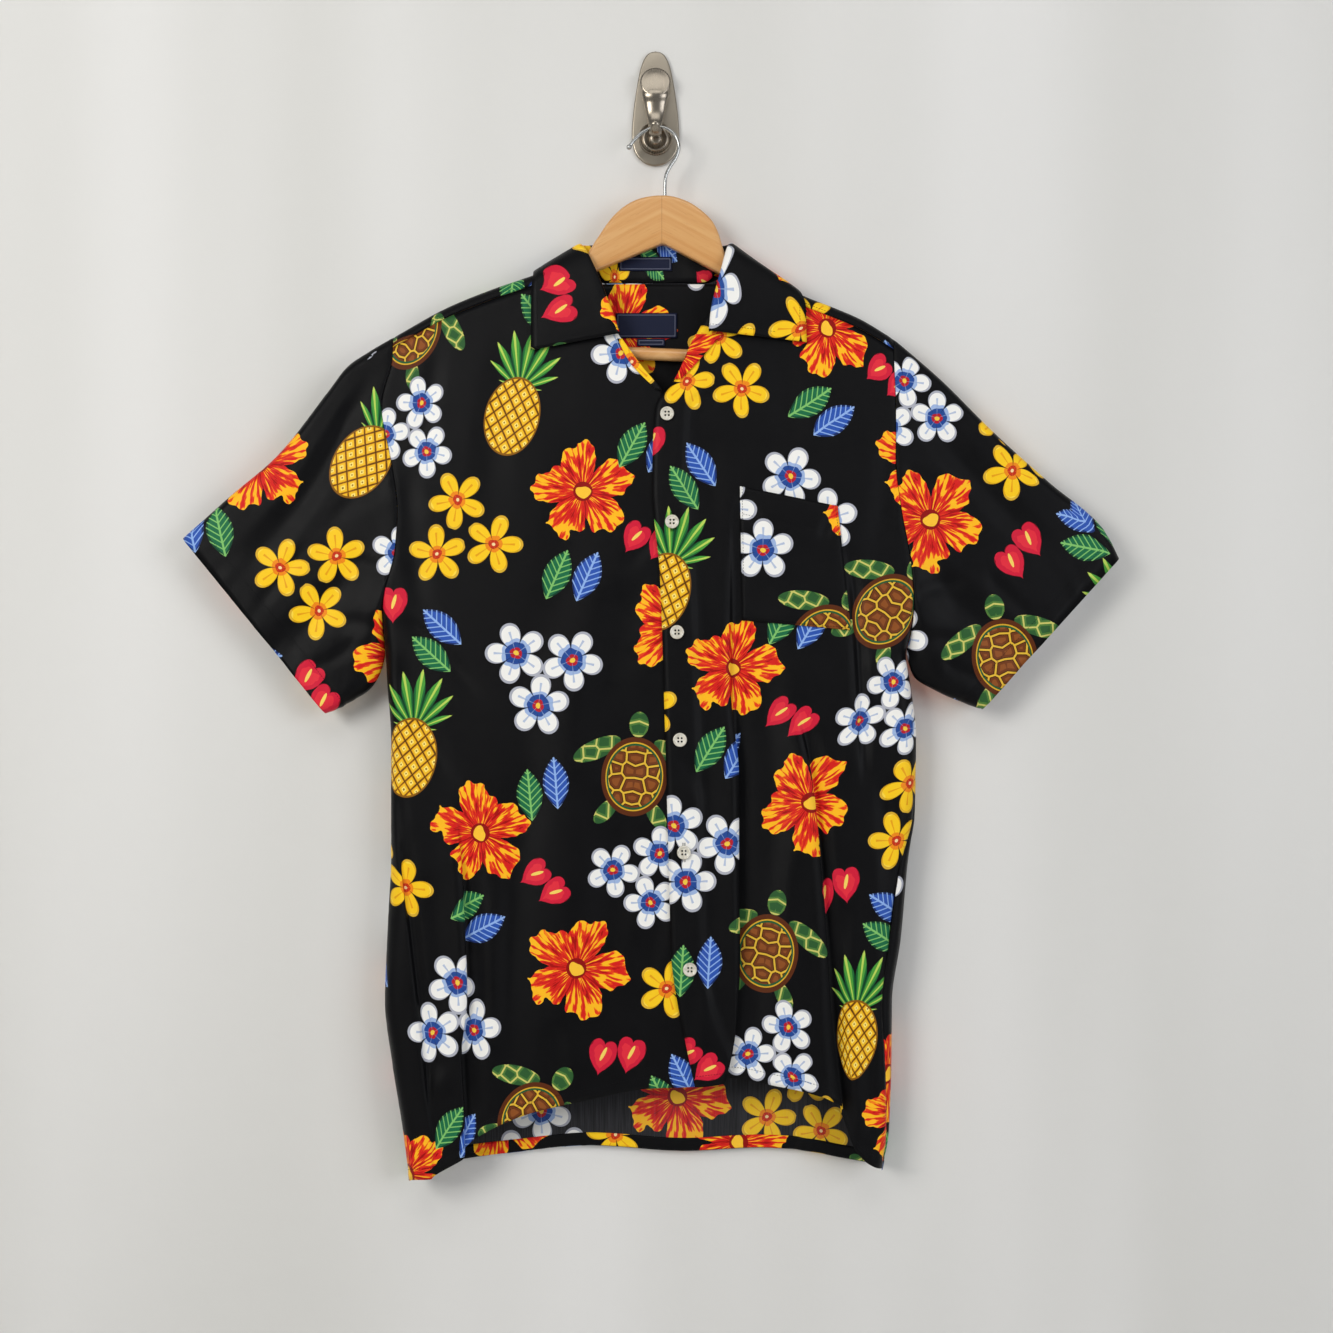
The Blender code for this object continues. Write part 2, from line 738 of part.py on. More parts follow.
def add_object(name, build, finish):
    """A mesh object from a filled bmesh, with its own copy of a finish."""
    mesh = bpy.data.meshes.new(name)
    build.to_mesh(mesh)
    build.free()
    mesh.shade_smooth()
    made = bpy.data.objects.new(name, mesh)
    own = material(finish).copy()
    own.name = name
    made.data.materials.append(own)
    bpy.context.scene.collection.objects.link(made)
    return made


def skin_faces(build, corners):
    """Two triangles over four corners, parted along the shorter diagonal."""
    a, b, c, d = corners
    if (a.co - c.co).length > (b.co - d.co).length:
        a, b, c, d = b, c, d, a
    build.faces.new([a, b, c])
    build.faces.new([a, c, d])


def wall(name, outer, inner, finish="cloth_print", closed=False):
    """A closed wall between two grids of points, given column by column in millimetres."""
    build = bmesh.new()
    skins = []
    for grid in (outer, inner):
        skins.append([[build.verts.new([MM * value for value in point]) for point in column] for column in grid])
    out, back = skins
    pairs = [(k, k + 1) for k in range(len(out) - 1)]
    if closed:
        pairs.append((len(out) - 1, 0))
    last = len(out[0]) - 1
    for one, two in pairs:
        for k in range(last):
            skin_faces(build, [out[one][k], out[one][k + 1], out[two][k + 1], out[two][k]])
            skin_faces(build, [back[one][k], back[two][k], back[two][k + 1], back[one][k + 1]])
        build.faces.new([out[one][0], out[two][0], back[two][0], back[one][0]])
        build.faces.new([out[one][last], back[one][last], back[two][last], out[two][last]])
    if not closed:
        for column, turn in ((0, 1), (-1, -1)):
            for k in range(last):
                ring = [out[column][k], back[column][k], back[column][k + 1], out[column][k + 1]]
                build.faces.new(ring[::turn])
    bmesh.ops.recalc_face_normals(build, faces=build.faces)
    return add_object(name, build, finish)


def grid_normals(grid, closed=False):
    """The normals of a grid of points from its neighbours, column by column."""
    if closed:
        along = np.roll(grid, -1, axis=0) - np.roll(grid, 1, axis=0)
    else:
        along = np.gradient(grid, axis=0)
    normal = np.cross(along, np.gradient(grid, axis=1))
    return normal / np.linalg.norm(normal, axis=-1, keepdims=True)


# ---------------------------------------------------------------- sleeves
def armhole_places(side):
    """The armhole's edge all round, as (surface, s, height): up the front, over, down the back."""
    front_panel = "right_front" if side == "left" else "left_front"
    high = float(shoulder_seam_z(side_edge(side, -217.0, -1)))
    places = []
    for k in range(UPPER_ROWS, -1, -1):
        z = high + (ARMPIT_Z - high) * k / UPPER_ROWS
        places.append((front_panel, side_edge(side, z, -1), z))
    shoulder = side_edge(side, -217.0, 1)
    heights = yoke_heights(shoulder)
    for height in reversed(heights[:-1]):
        places.append(("yoke", side_edge(side, min(height, -217.0), 1), height))
    for z in back_heights(-980.0)[1 : UPPER_ROWS - YOKE_ROWS]:
        places.append(("back", side_edge(side, z, 1), z))
    return places


def armhole_ring(side):
    """The sleeve's first ring, a seam away from the body's edge, and the ways that it stepped."""
    edge, inner = [], []
    for panel, s, height in armhole_places(side):
        def surface(a, b, panel=panel):
            return yoke_point(a, b) if panel == "yoke" else body_point(panel, a, b)

        edge.append(surface(s, height))
        inner.append(inside(surface, s, height, CLOTH, facing(panel)))
    edge, inner = np.array(edge), np.array(inner)
    along = np.roll(edge, -1, axis=0) - np.roll(edge, 1, axis=0)
    away = np.cross(along, edge - inner) * (-1 if side == "left" else 1)
    away /= np.linalg.norm(away, axis=-1, keepdims=True)
    return edge + SEAM * away, away


def oval_ring(row, counts):
    """A flat ring with round ends, with as many points on each stretch as the armhole has."""
    top = np.array([row["top_x"], row["top_z"]])
    under = np.array([row["under_x"], row["under_z"]])
    tall = float(np.linalg.norm(top - under))
    way = (top - under) / tall
    half = row["half"]
    quarter = math.pi / 2 * half
    side_length = quarter + tall - 2 * half

    def place(distance, face):
        """(height up the ring, depth) at a distance from the underarm along one face."""
        if distance < quarter:
            angle = distance / half
            return half - half * math.cos(angle), face * half * math.sin(angle)
        if distance < side_length:
            return half + distance - quarter, face * half
        angle = (distance - side_length) / half
        return tall - half + half * math.sin(angle), face * half * math.cos(angle)

    front, over, back = counts
    marks = [place(k / (front - 1) * side_length, -1) for k in range(front)]
    for k in range(1, over + 1):
        share = 2 * k / over
        if share <= 1:
            marks.append(place(side_length + share * quarter, -1))
        else:
            marks.append(place(side_length + (2 - share) * quarter, 1))
    marks += [place((1 - k / (back + 1)) * side_length, 1) for k in range(1, back + 1)]
    ring = [(*(under + way * up), depth) for up, depth in marks]
    points = np.array([(x, row["mid_y"] + depth, z) for x, z, depth in ring])
    return points, np.array([up / tall for up, _ in marks])


def sleeve_grids(side, rows):
    """The sleeve's outer and inner points, one column for each point round the armhole."""
    outer_edge, away = armhole_ring(side)
    counts = (UPPER_ROWS + 1, WRAP_ROWS, len(outer_edge) - UPPER_ROWS - 1 - WRAP_ROWS)
    curves = {key: smooth(rows, "along", key) for key in rows[0] if key != "along"}
    start, _ = oval_ring({key: float(curve(0.0)) for key, curve in curves.items()}, counts)
    wearer = "right" if side == "left" else "left"
    rings = []
    for step in range(SLEEVE_RINGS + 1):
        along = (step / SLEEVE_RINGS) ** 1.3
        ring, up = oval_ring({key: float(curve(along)) for key, curve in curves.items()}, counts)
        ring = ring + (outer_edge - start) * (1 - float(ease(along / 0.5)))
        for fold in SLEEVE_FOLDS:
            if fold["side"] != wearer:
                continue
            line = fold["at_armhole"] * (1 - along) + fold["at_hem"] * along
            dent = ease(1 - np.abs(up - line) / fold["width"]) * fold["depth"]
            ring[:, 1] += dent * ease((along - fold["start"]) / 0.3) * ease((fold["end"] - along) / 0.3)
        rings.append(ring)
    outer = np.array(rings).transpose(1, 0, 2)
    turn = -1 if side == "left" else 1
    step = turn * CLOTH * grid_normals(outer, closed=True)
    back_over = np.minimum(0, np.sum(step[:, 0] * away, axis=-1, keepdims=True))
    step[:, 0] -= back_over * away
    return outer, outer + step


# ---------------------------------------------------------------- collar and trims
def collar_section(row):
    """One section of the collar from the neckline over the roll to the leaf's edge."""
    seam = np.array([row["seam_x"], row["seam_y"], row["seam_z"]])
    roll = np.array([row["roll_x"], row["roll_y"], row["roll_z"]])
    edge = np.array([row["edge_x"], row["edge_y"], row["edge_z"]])
    out = np.array([row["out_x"], row["out_y"], row["out_z"]])
    out = out / np.linalg.norm(out) * 2 * COLLAR_ROLL
    rise = max(float(np.linalg.norm(seam - roll)), 0.1)
    foot = roll + (seam - roll) * min(1.0, 2.2 / rise)
    leaf = roll + out + (edge - roll - out) / np.linalg.norm(edge - roll - out) * 2.2
    tip = roll + out / 2 + (roll - seam) / rise * 0.9
    points = [seam, (seam + foot) / 2, foot, tip, leaf]
    for share in (0.18, 0.45, 0.75, 1.0):
        points.append(leaf + (edge - leaf) * share)
    return [tuple(point) for point in points]


def collar_points():
    columns = [key for key in COLLAR[0] if key != "at"]
    curves = {key: smooth(COLLAR, "at", key) for key in columns}
    last = COLLAR[-1]["at"]
    return [
        collar_section({key: float(curves[key](last * k / COLLAR_STATIONS)) for key in columns})
        for k in range(COLLAR_STATIONS + 1)
    ]


def lapel_points(row):
    """The turned edge of a front: points of the panel, moved out in front of it."""
    panel = row["panel"]
    inwards = -1 if panel == "right_front" else 1
    widths = smooth(
        table("t width", (0, row["width_top"]), (0.5, row["width_mid"]), (1, row["width_bottom"])),
        "t",
        "width",
    )
    share = np.linspace(0, 1, 8)[:, None]
    step = np.linspace(0, 1, 4)[None, :]
    z = row["z_top"] + (row["z_bottom"] - row["z_top"]) * share
    s = front_edge[panel](z) + inwards * step * widths(share)
    points = body_point(panel, s, z + 0 * step)
    points[..., 1] -= row["stands"] + row["thick"]
    return points


def on_front(x, z, out):
    """Points in front of the left front's cloth."""
    points = body_point("left_front", x, z)
    points[..., 1] -= out
    return points


def flat_wall(name, points, thick, finish="cloth_print"):
    """A thin piece that lies on a panel: its outer points, and the same ones moved back."""
    wall(name, points, points + (0, thick, 0), finish)


def pocket_points():
    corner = {row["corner"]: np.array([row["x"], row["z"]], float) for row in POCKET}
    across = np.linspace(0, 1, 9)[:, None, None]
    down = np.linspace(0, 1, 7)[None, :, None]
    place = (1 - down) * ((1 - across) * corner["top_inner"] + across * corner["top_outer"]) + down * (
        (1 - across) * corner["bottom_inner"] + across * corner["bottom_outer"]
    )
    return on_front(place[..., 0], place[..., 1], POCKET_THICK + LAYER + POCKET_STANDS)


def ring_of(build, centre, radius, y, sides):
    """A ring of vertices round an axis along Y."""
    turns = [2 * math.pi * k / sides for k in range(sides)]
    return [
        build.verts.new((
            MM * (centre[0] + radius * math.cos(turn)),
            MM * y,
            MM * (centre[1] + radius * math.sin(turn)),
        ))
        for turn in turns
    ]


def bridge(build, rings):
    """Faces between neighbouring rings of vertices, and over both ends."""
    for one, two in zip(rings, rings[1:]):
        for k in range(len(one)):
            nxt = (k + 1) % len(one)
            build.faces.new([one[k], one[nxt], two[nxt], two[k]])
    build.faces.new(rings[0][::-1])
    build.faces.new(rings[-1])
    bmesh.ops.recalc_face_normals(build, faces=build.faces)


def helper(name, build):
    """A hidden cutter."""
    mesh = bpy.data.meshes.new(name)
    build.to_mesh(mesh)
    build.free()
    made = bpy.data.objects.new(name, mesh)
    made.hide_render = True
    made.display_type = "WIRE"
    bpy.context.scene.collection.objects.link(made)
    return made


def button(row):
    """A turned four-hole button, its axis along Y, lying on the placket."""
    reach = BUTTON_WIDE / 2
    around = np.array([(-reach, 0), (reach, 0), (0, reach), (0, -reach), (0, 0)]) + (row["x"], row["z"])
    seat = float(on_front(around[:, 0], around[:, 1], LAYER)[:, 1].min())
    profile = table(
        "radius up",
        (reach - 0.6, 0.0),
        (reach, 0.9),
        (reach - 0.5, BUTTON_THICK),
        (reach - BUTTON_RIM, BUTTON_THICK - 0.1),
        (reach - BUTTON_RIM - 0.7, BUTTON_THICK - 0.9),
    )
    centre = (row["x"], row["z"])
    build = bmesh.new()
    rings = [ring_of(build, centre, p["radius"], seat - p["up"], BUTTON_SIDES) for p in profile]
    bridge(build, rings)
    made = add_object(row["name"], build, "ivory_resin")
    half = BUTTON_PITCH / 2
    for number, (dx, dz) in enumerate(((-half, -half), (half, -half), (-half, half), (half, half))):
        drill = bmesh.new()
        hole = (row["x"] + dx, row["z"] + dz)
        bridge(drill, [ring_of(drill, hole, BUTTON_HOLE / 2, y, 6) for y in (seat + 2, seat - 5)])
        cut = made.modifiers.new(f"hole_{number}", "BOOLEAN")
        cut.object = helper(f"{row['name']}_drill_{number}", drill)
        cut.operation = "DIFFERENCE"


def lining_points():
    """The yoke's inner layer, where it shows through the neck: the yoke's points, moved in."""
    s = np.linspace(*LINING_SPAN, 15)[:, None]
    share = np.linspace(0, 1, 6)[None, :]
    high = np.minimum(ridge_z(s) - RIDGE_ROUND - 6, BACK_NECK_Z - 1)
    low = YOKE_Z + 4
    points = body_point("yoke", s + 0 * share, low + (high - low) * share)
    points[..., 1] -= CLOTH + LAYER
    return points


def label_points(row):
    """A small woven label in front of the yoke's inner layer."""
    x = np.linspace(row["left"], row["right"], 3)[:, None]
    z = np.linspace(row["top"], row["bottom"], 3)[None, :]
    points = body_point("yoke", x + 0 * z, z + 0 * x)
    points[..., 1] -= CLOTH + LINING_THICK + 2 * LAYER + LABEL_THICK
    return points


def care_label_points():
    """The label on the inner face of the collar's stand, just behind the hanger."""
    x = np.linspace(CARE_LABEL["left"], CARE_LABEL["right"], 3)[:, None]
    z = np.linspace(CARE_LABEL["top"], CARE_LABEL["bottom"], 3)[None, :]
    return np.stack(np.broadcast_arrays(x, CARE_LABEL["y"], z), axis=-1)


# ---------------------------------------------------------------- hanger and wall hook
def extruded(name, loop, near, far, bevel, finish):
    """A flat outline in X and Z, extruded between two depths, with its long edges rounded."""
    build = bmesh.new()
    face = build.faces.new([build.verts.new((MM * x, MM * near, MM * z)) for x, z in loop])
    grown = bmesh.ops.extrude_face_region(build, geom=[face])
    moved = [item for item in grown["geom"] if isinstance(item, bmesh.types.BMVert)]
    bmesh.ops.translate(build, verts=moved, vec=(0, MM * (far - near), 0))
    bmesh.ops.recalc_face_normals(build, faces=build.faces)
    made = add_object(name, build, finish)
    round_edge = made.modifiers.new("round_edge", "BEVEL")
    round_edge.width = bevel * MM
    round_edge.segments = 2
    round_edge.limit_method = "ANGLE"
    round_edge.angle_limit = math.radians(50)
    return made


def hanger_wood():
    loop = [(row["x"], row["z"]) for row in WOOD_TOP + WOOD_UNDER]
    near, far = HANGER_Y - WOOD_THICK / 2, HANGER_Y + WOOD_THICK / 2
    return extruded("hanger_wood", loop, near, far, WOOD_EDGE, "honey_wood")


def tube(name, points, wide, finish, sides=10):
    """A round bar along points, as rings of vertices with closed ends."""
    build = bmesh.new()
    points = [np.array(point, float) for point in points]
    rings = []
    side = np.array([0.0, 1.0, 0.0])
    for k, point in enumerate(points):
        ahead = points[min(k + 1, len(points) - 1)] - points[max(k - 1, 0)]
        ahead /= np.linalg.norm(ahead)
        across = np.cross(side, ahead)
        across /= np.linalg.norm(across)
        lift = np.cross(ahead, across)
        radius = wide[k] / 2
        ring = []
        for step in range(sides):
            angle = 2 * math.pi * step / sides
            place = point + radius * (math.cos(angle) * across + math.sin(angle) * lift)
            ring.append(build.verts.new([MM * value for value in place]))
        rings.append(ring)
    bridge(build, rings)
    return add_object(name, build, finish)


def hanger_hook():
    """The wire crook with the small ball at its tip."""
    places = [(row["x"], HANGER_Y, row["z"]) for row in WIRE]
    path = []
    for before, here, after, beyond in zip(
        [places[0], *places], places, places[1:], [*places[2:], places[-1]]
    ):
        for t in (0.0, 0.5):
            path.append(tuple(
                0.5 * (2 * b + (c - a) * t + (2 * a - 5 * b + 4 * c - d) * t**2
                       + (3 * b - a - 3 * c + d) * t**3)
                for a, b, c, d in zip(before, here, after, beyond)
            ))
    ahead = np.array(path[1]) - np.array(path[0])
    ahead /= np.linalg.norm(ahead)
    ball = BALL_WIDE / 2
    start = np.array(path[0])
    caps, widths = [], []
    for angle in (170, 135, 100, 60, 40):
        caps.append(tuple(start + ahead * ball * math.cos(math.radians(angle))))
        widths.append(BALL_WIDE * math.sin(math.radians(angle)))
    path.append(places[-1])
    return tube("hanger_hook", caps + path[1:], widths + [WIRE_WIDE] * (len(path) - 1), "bright_steel", 8)


def wall_plate():
    right = [(row["half"], row["z"]) for row in PLATE]
    left = [(-row["half"], row["z"]) for row in reversed(PLATE[1:-1])]
    return extruded("wall_plate", right + left, -PLATE_THICK, 0.0, 1.4, "satin_nickel")


def wall_prong():
    """The broad tongue that carries the hanger: flat ovals along a bending line."""
    build = bmesh.new()
    sides = 14
    rings = []
    for k, row in enumerate(PRONG):
        before, after = PRONG[max(k - 1, 0)], PRONG[min(k + 1, len(PRONG) - 1)]
        ahead = np.array([0, after["y"] - before["y"], after["z"] - before["z"]], float)
        ahead /= np.linalg.norm(ahead)
        thick = np.cross(ahead, (1.0, 0.0, 0.0))
        ring = []
        for step in range(sides):
            angle = 2 * math.pi * step / sides
            across = row["half_x"] * math.cos(angle)
            out = row["half_y"] * math.sin(angle)
            place = np.array([across, row["y"], row["z"]]) + thick * out
            place[1] = min(place[1], -PLATE_THICK - SEAM)
            ring.append(build.verts.new([MM * value for value in place]))
        rings.append(ring)
    bridge(build, rings)
    return add_object("wall_prong", build, "satin_nickel")


# ---------------------------------------------------------------- the whole
def main():
    for old in list(bpy.data.objects):
        bpy.data.objects.remove(old)
    fronts = {panel: front_places(panel) for panel in ("right_front", "left_front")}
    for name, panel in (("front_right", "right_front"), ("front_left", "left_front")):
        wall(name, *wall_grid(lambda s, z: body_point(panel, s, z), fronts[panel], facing(panel)))
    back = panel_places("back", back_heights, None, back_hem)
    wall("back", *wall_grid(lambda s, z: body_point("back", s, z), back, facing("back")))
    shoulders = [column[0][0] for panel in fronts.values() for column in panel]
    yoke = yoke_places([s for s in shoulders if abs(s) > NECK_HALF])
    wall("yoke", *wall_grid(yoke_point, yoke, facing("yoke")))
    wall("sleeve_right", *sleeve_grids("left", RIGHT_SLEEVE), closed=True)
    wall("sleeve_left", *sleeve_grids("right", LEFT_SLEEVE), closed=True)
    collar = np.array(collar_points())
    half = grid_normals(collar) * CLOTH / 2
    wall("collar", collar + half, collar - half, "cloth_collar")
    for row in LAPELS:
        flat_wall(row["name"], lapel_points(row), row["thick"])
    flat_wall("pocket", pocket_points(), POCKET_THICK)
    flat_wall("yoke_lining", lining_points(), -LINING_THICK)
    for row in BUTTONS:
        button(row)
    for row in LABELS:
        flat_wall(row["name"], label_points(row), LABEL_THICK, "cloth_label")
    flat_wall("care_label", care_label_points(), LABEL_THICK, "cloth_label")
    hanger_wood()
    bar = [(row["x"], HANGER_Y, row["z"]) for row in BAR_ENDS]
    tube("hanger_bar", bar, [BAR_WIDE] * 2, "honey_wood", sides=16)
    hanger_hook()
    wall_plate()
    wall_prong()


main()
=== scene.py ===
# %% [markdown]
# # A printed camp shirt on a wooden hanger
#
# The real object is a short-sleeved shirt of thin, silky, printed cloth. It is buttoned on a wooden
# hanger, and the hanger hangs from a nickel hook on a wall. This script dresses a plain model of it,
# the frame, which is already the right size. The frame's solids have walls 1.5 mm thick. Real shirt
# cloth is about 0.4 mm thick and has hundreds of small dents and stitches, so each cloth solid is
# replaced by a thin, finely cut shell that follows the same form.
#
# Everything is in metres in the frame's own space: the origin is on the wall behind the hook's plate,
# X runs to the viewer's right, the shirt faces -Y and Z is up. Left and right in the names are the
# wearer's. The tables are in millimetres, because that is how a tailor thinks.

# %% Load the frame
import math

import bmesh
import bpy
import numpy as np
from mathutils import Matrix, Vector


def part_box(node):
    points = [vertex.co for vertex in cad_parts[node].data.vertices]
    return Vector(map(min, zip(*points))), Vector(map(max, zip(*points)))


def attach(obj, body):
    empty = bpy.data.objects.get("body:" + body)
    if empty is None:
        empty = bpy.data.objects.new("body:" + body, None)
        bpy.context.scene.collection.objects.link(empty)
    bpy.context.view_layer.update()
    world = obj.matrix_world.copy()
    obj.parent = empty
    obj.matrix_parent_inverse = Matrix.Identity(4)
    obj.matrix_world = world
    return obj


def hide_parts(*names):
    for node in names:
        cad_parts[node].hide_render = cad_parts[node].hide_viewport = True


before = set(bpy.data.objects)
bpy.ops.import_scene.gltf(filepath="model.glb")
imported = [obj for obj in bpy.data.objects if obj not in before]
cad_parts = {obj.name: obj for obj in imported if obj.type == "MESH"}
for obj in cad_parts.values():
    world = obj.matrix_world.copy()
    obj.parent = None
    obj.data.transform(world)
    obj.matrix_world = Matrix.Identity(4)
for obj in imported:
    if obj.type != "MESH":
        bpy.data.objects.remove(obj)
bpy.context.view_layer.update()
BODY_NAME = "root"
MM = 0.001
print("nodes:", ", ".join(sorted(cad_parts)))

# %% [markdown]
# ## Tables and smooth curves
#
# A garment is easiest to describe by a few measured stations: where the side seam runs, how deep the
# shirt is, where an edge lies. `table` keeps such stations by column name, and `smooth` turns one
# column into a curve that passes through each station without overshooting between them. A plain
# spline would overshoot and put waves into a straight seam.

# %% Table and curve helpers
def table(columns, *rows):
    """A small table: one dictionary a row, keyed by the names of its columns."""
    return [dict(zip(columns.split(), row)) for row in rows]


def smooth(rows, at, value):
    """A smooth curve without overshoot through one column of a table, read against another."""
    known, level = np.array(sorted((row[at], row[value]) for row in rows), float).T
    rise = np.diff(level) / np.diff(known)
    slope = np.zeros(len(known))
    both = rise[:-1] * rise[1:]
    same = both > 0
    slope[1:-1][same] = 2 * both[same] / (rise[:-1] + rise[1:])[same]
    slope[[0, -1]] = rise[[0, -1]]

    def read(position):
        place = np.clip(np.asarray(position, float), known[0], known[-1])
        i = np.clip(np.searchsorted(known, place) - 1, 0, len(known) - 2)
        span = known[i + 1] - known[i]
        t = (place - known[i]) / span
        return (
            (1 + 2 * t) * (1 - t) ** 2 * level[i]
            + t * (1 - t) ** 2 * span * slope[i]
            + t * t * (3 - 2 * t) * level[i + 1]
            + t * t * (t - 1) * span * slope[i + 1]
        )

    return read


def between_rows(rows, at):
    """A function that gives a whole row at any place between the rows of a table."""
    curves = {key: smooth(rows, at, key) for key in rows[0] if key != at}
    return lambda place: {key: float(curve(place)) for key, curve in curves.items()}


def ease(t):
    """A soft step from 0 to 1."""
    t = np.clip(t, 0, 1)
    return t * t * (3 - 2 * t)


def dip(away, width):
    """A smooth bell: 1 on a line and next to nothing two widths away from it."""
    return np.exp(-((away / width) ** 2))


def unit(vectors):
    return vectors / np.linalg.norm(vectors, axis=-1, keepdims=True)


def run_along(points, axis=0):
    """How far each point of a grid lies from the first one, along its column or its row."""
    steps = np.linalg.norm(np.diff(points, axis=axis), axis=-1)
    return np.concatenate([0 * steps.take([0], axis), np.cumsum(steps, axis)], axis)


print("half way between 0 and 10 a curve reads", float(smooth(table("x y", (0, 0), (1, 10)), "x", "y")(0.5)))

# %% [markdown]
# ## The shirt's measurements
#
# These are the driving sizes of the hanging shirt. `RIDGE` is the top line of the shoulders, where the
# cloth turns over the hanger. `BODY` is the outline from the front with the rounding of its sides, and
# `DEPTH` says how far the front and back stand apart, by the drop below the ridge.

# %% Outline and depth of the body
SEAM = 0.3  # gap between two pieces that are sewn together
CLOTH = 1.5  # wall of the frame's solids
LAYER = 0.35  # gap between a piece and the piece that it lies on

HANGER_Y = -24.0  # middle plane of the hanger
RIDGE_ROUND = 9.5  # radius with which the yoke turns over the hanger's arms
SHOULDER_SEAM = 11.0  # how far the front's top seam lies below the ridge of the shoulder
NECK_HALF = 68.0  # half the neck opening at the ridge
ARMPIT_Z = -510.0
YOKE_Z = -290.0  # seam between the yoke and the back
BACK_NECK_Z = -166.3
PLACKET_LIFT = 3.0  # how far the placket lies in front of the right front
PLACKET_WIDE, PLACKET_REACH = 26.0, 34.0  # the left front is lifted so up to there, and not beyond
PLACKET_TOP_Z = -256.0

RIDGE = table(
    "x z",
    (-262, -229), (-239, -217), (-192, -191), (-152, -174.5), (-113, -161), (-90, -152.5), (-80, -148),
    (-66, -139.5), (66, -139), (80, -149), (100, -161), (120, -171.5), (138, -180.5), (160, -189),
    (188, -201), (218, -219), (250, -238),
)

# above the armpit the outline only carries the rounding of the armhole's lower end
BODY = table(
    "z left right left_round right_round right_turn",
    (-217, -262, 240, 12, 12, 1.0), (-380, -262, 246, 12, 12, 1.0),
    (-452, -256, 243, 12, 12, 1.0), (-485, -250, 236, 12, 12, 1.0),
    (-510, -247.5, 230, 12, 12, 1.0), (-536, -246, 234, 13, 13, 1.0),
    (-587, -242.5, 239.5, 14, 14, 0.95), (-654, -242.5, 238, 14, 18, 0.7),
    (-700, -243, 231.5, 14, 22, 0.45), (-770, -246, 225, 14, 24, 0.35),
    (-826, -248, 217, 14, 22, 0.35), (-881, -241.5, 216.5, 14, 20, 0.45),
    (-940, -232, 214.5, 14, 18, 0.6), (-992, -225, 206, 14, 16, 0.8),
)

DEPTH = table(
    "drop front back",
    (0, -33.5, -14.5), (14, -33.5, -14.5), (60, -35.5, -13.5), (150, -39.0, -11.5), (300, -42.0, -9.5),
    (500, -44.0, -8.5), (760, -47.0, -8.0), (860, -48.0, -8.0),
)
print("the body is", BODY[0]["right"] - BODY[0]["left"], "mm wide at the shoulders")

# %% [markdown]
# The edges of the cut pieces come next: the armholes, the front edges with the neckline and placket,
# and the two hems. The front hem is shorter than the back one, so the inside of the back shows below
# it, as on the real shirt.

# %% Edges of the pieces
# the armholes' edges, measured along the cloth
ARMHOLE = table(
    "z left right",
    (-217, -240, 218), (-234, -240, 218), (-281, -250, 219.5), (-332, -241, 219.5), (-378, -235, 224.5),
    (-413, -237, 231), (-452, -247, 236), (-485, -254, 238.5),
)

# the inner edges run down the neckline, the lapel and the placket
RIGHT_FRONT_EDGE = table(
    "z x",
    (-148, -71), (-175, -60), (-196, -47), (-217, -33.5), (-247, -12), (-272, 8), (-300, 19), (-340, 21),
    (-400, 23), (-550, 31), (-806, 39), (-920, 52),
)
LEFT_FRONT_EDGE = table(
    "z x",
    (-148, 71), (-175, 62), (-192, 53), (-203, 45), (-226, 33), (-255, 20), (-268, 11), (-279, 1),
    (-300, -1.5), (-360, -3), (-387, -1), (-433, 4), (-550, 8), (-712, 12.5), (-781, 14.3), (-806, 17),
    (-859, 27), (-920, 40),
)

FRONT_HEM = table(
    "x z",
    (-262, -991), (-240, -991), (-220, -986), (-205, -984), (-185, -969), (-165, -950), (-141, -936),
    (-106, -923), (-57, -912), (-7, -903), (38, -901), (68, -894), (106, -900), (148, -910), (168, -925),
    (181, -958), (193, -971), (204, -976), (225, -980),
)
BACK_HEM = table(
    "x z",
    (-262, -991), (-225, -990), (-181, -977), (-144, -972), (-60, -964), (26, -969), (97, -966), (139, -969),
    (176, -976), (207, -980), (260, -980),
)
print("the front hem lies between", min(r["z"] for r in FRONT_HEM), "and", max(r["z"] for r in FRONT_HEM))

# %% [markdown]
# Large folds are rows too. A fold is a valley along a path. It is steep on one side and soft on the
# other, because hanging cloth leans over its folds. It fades out at both ends.

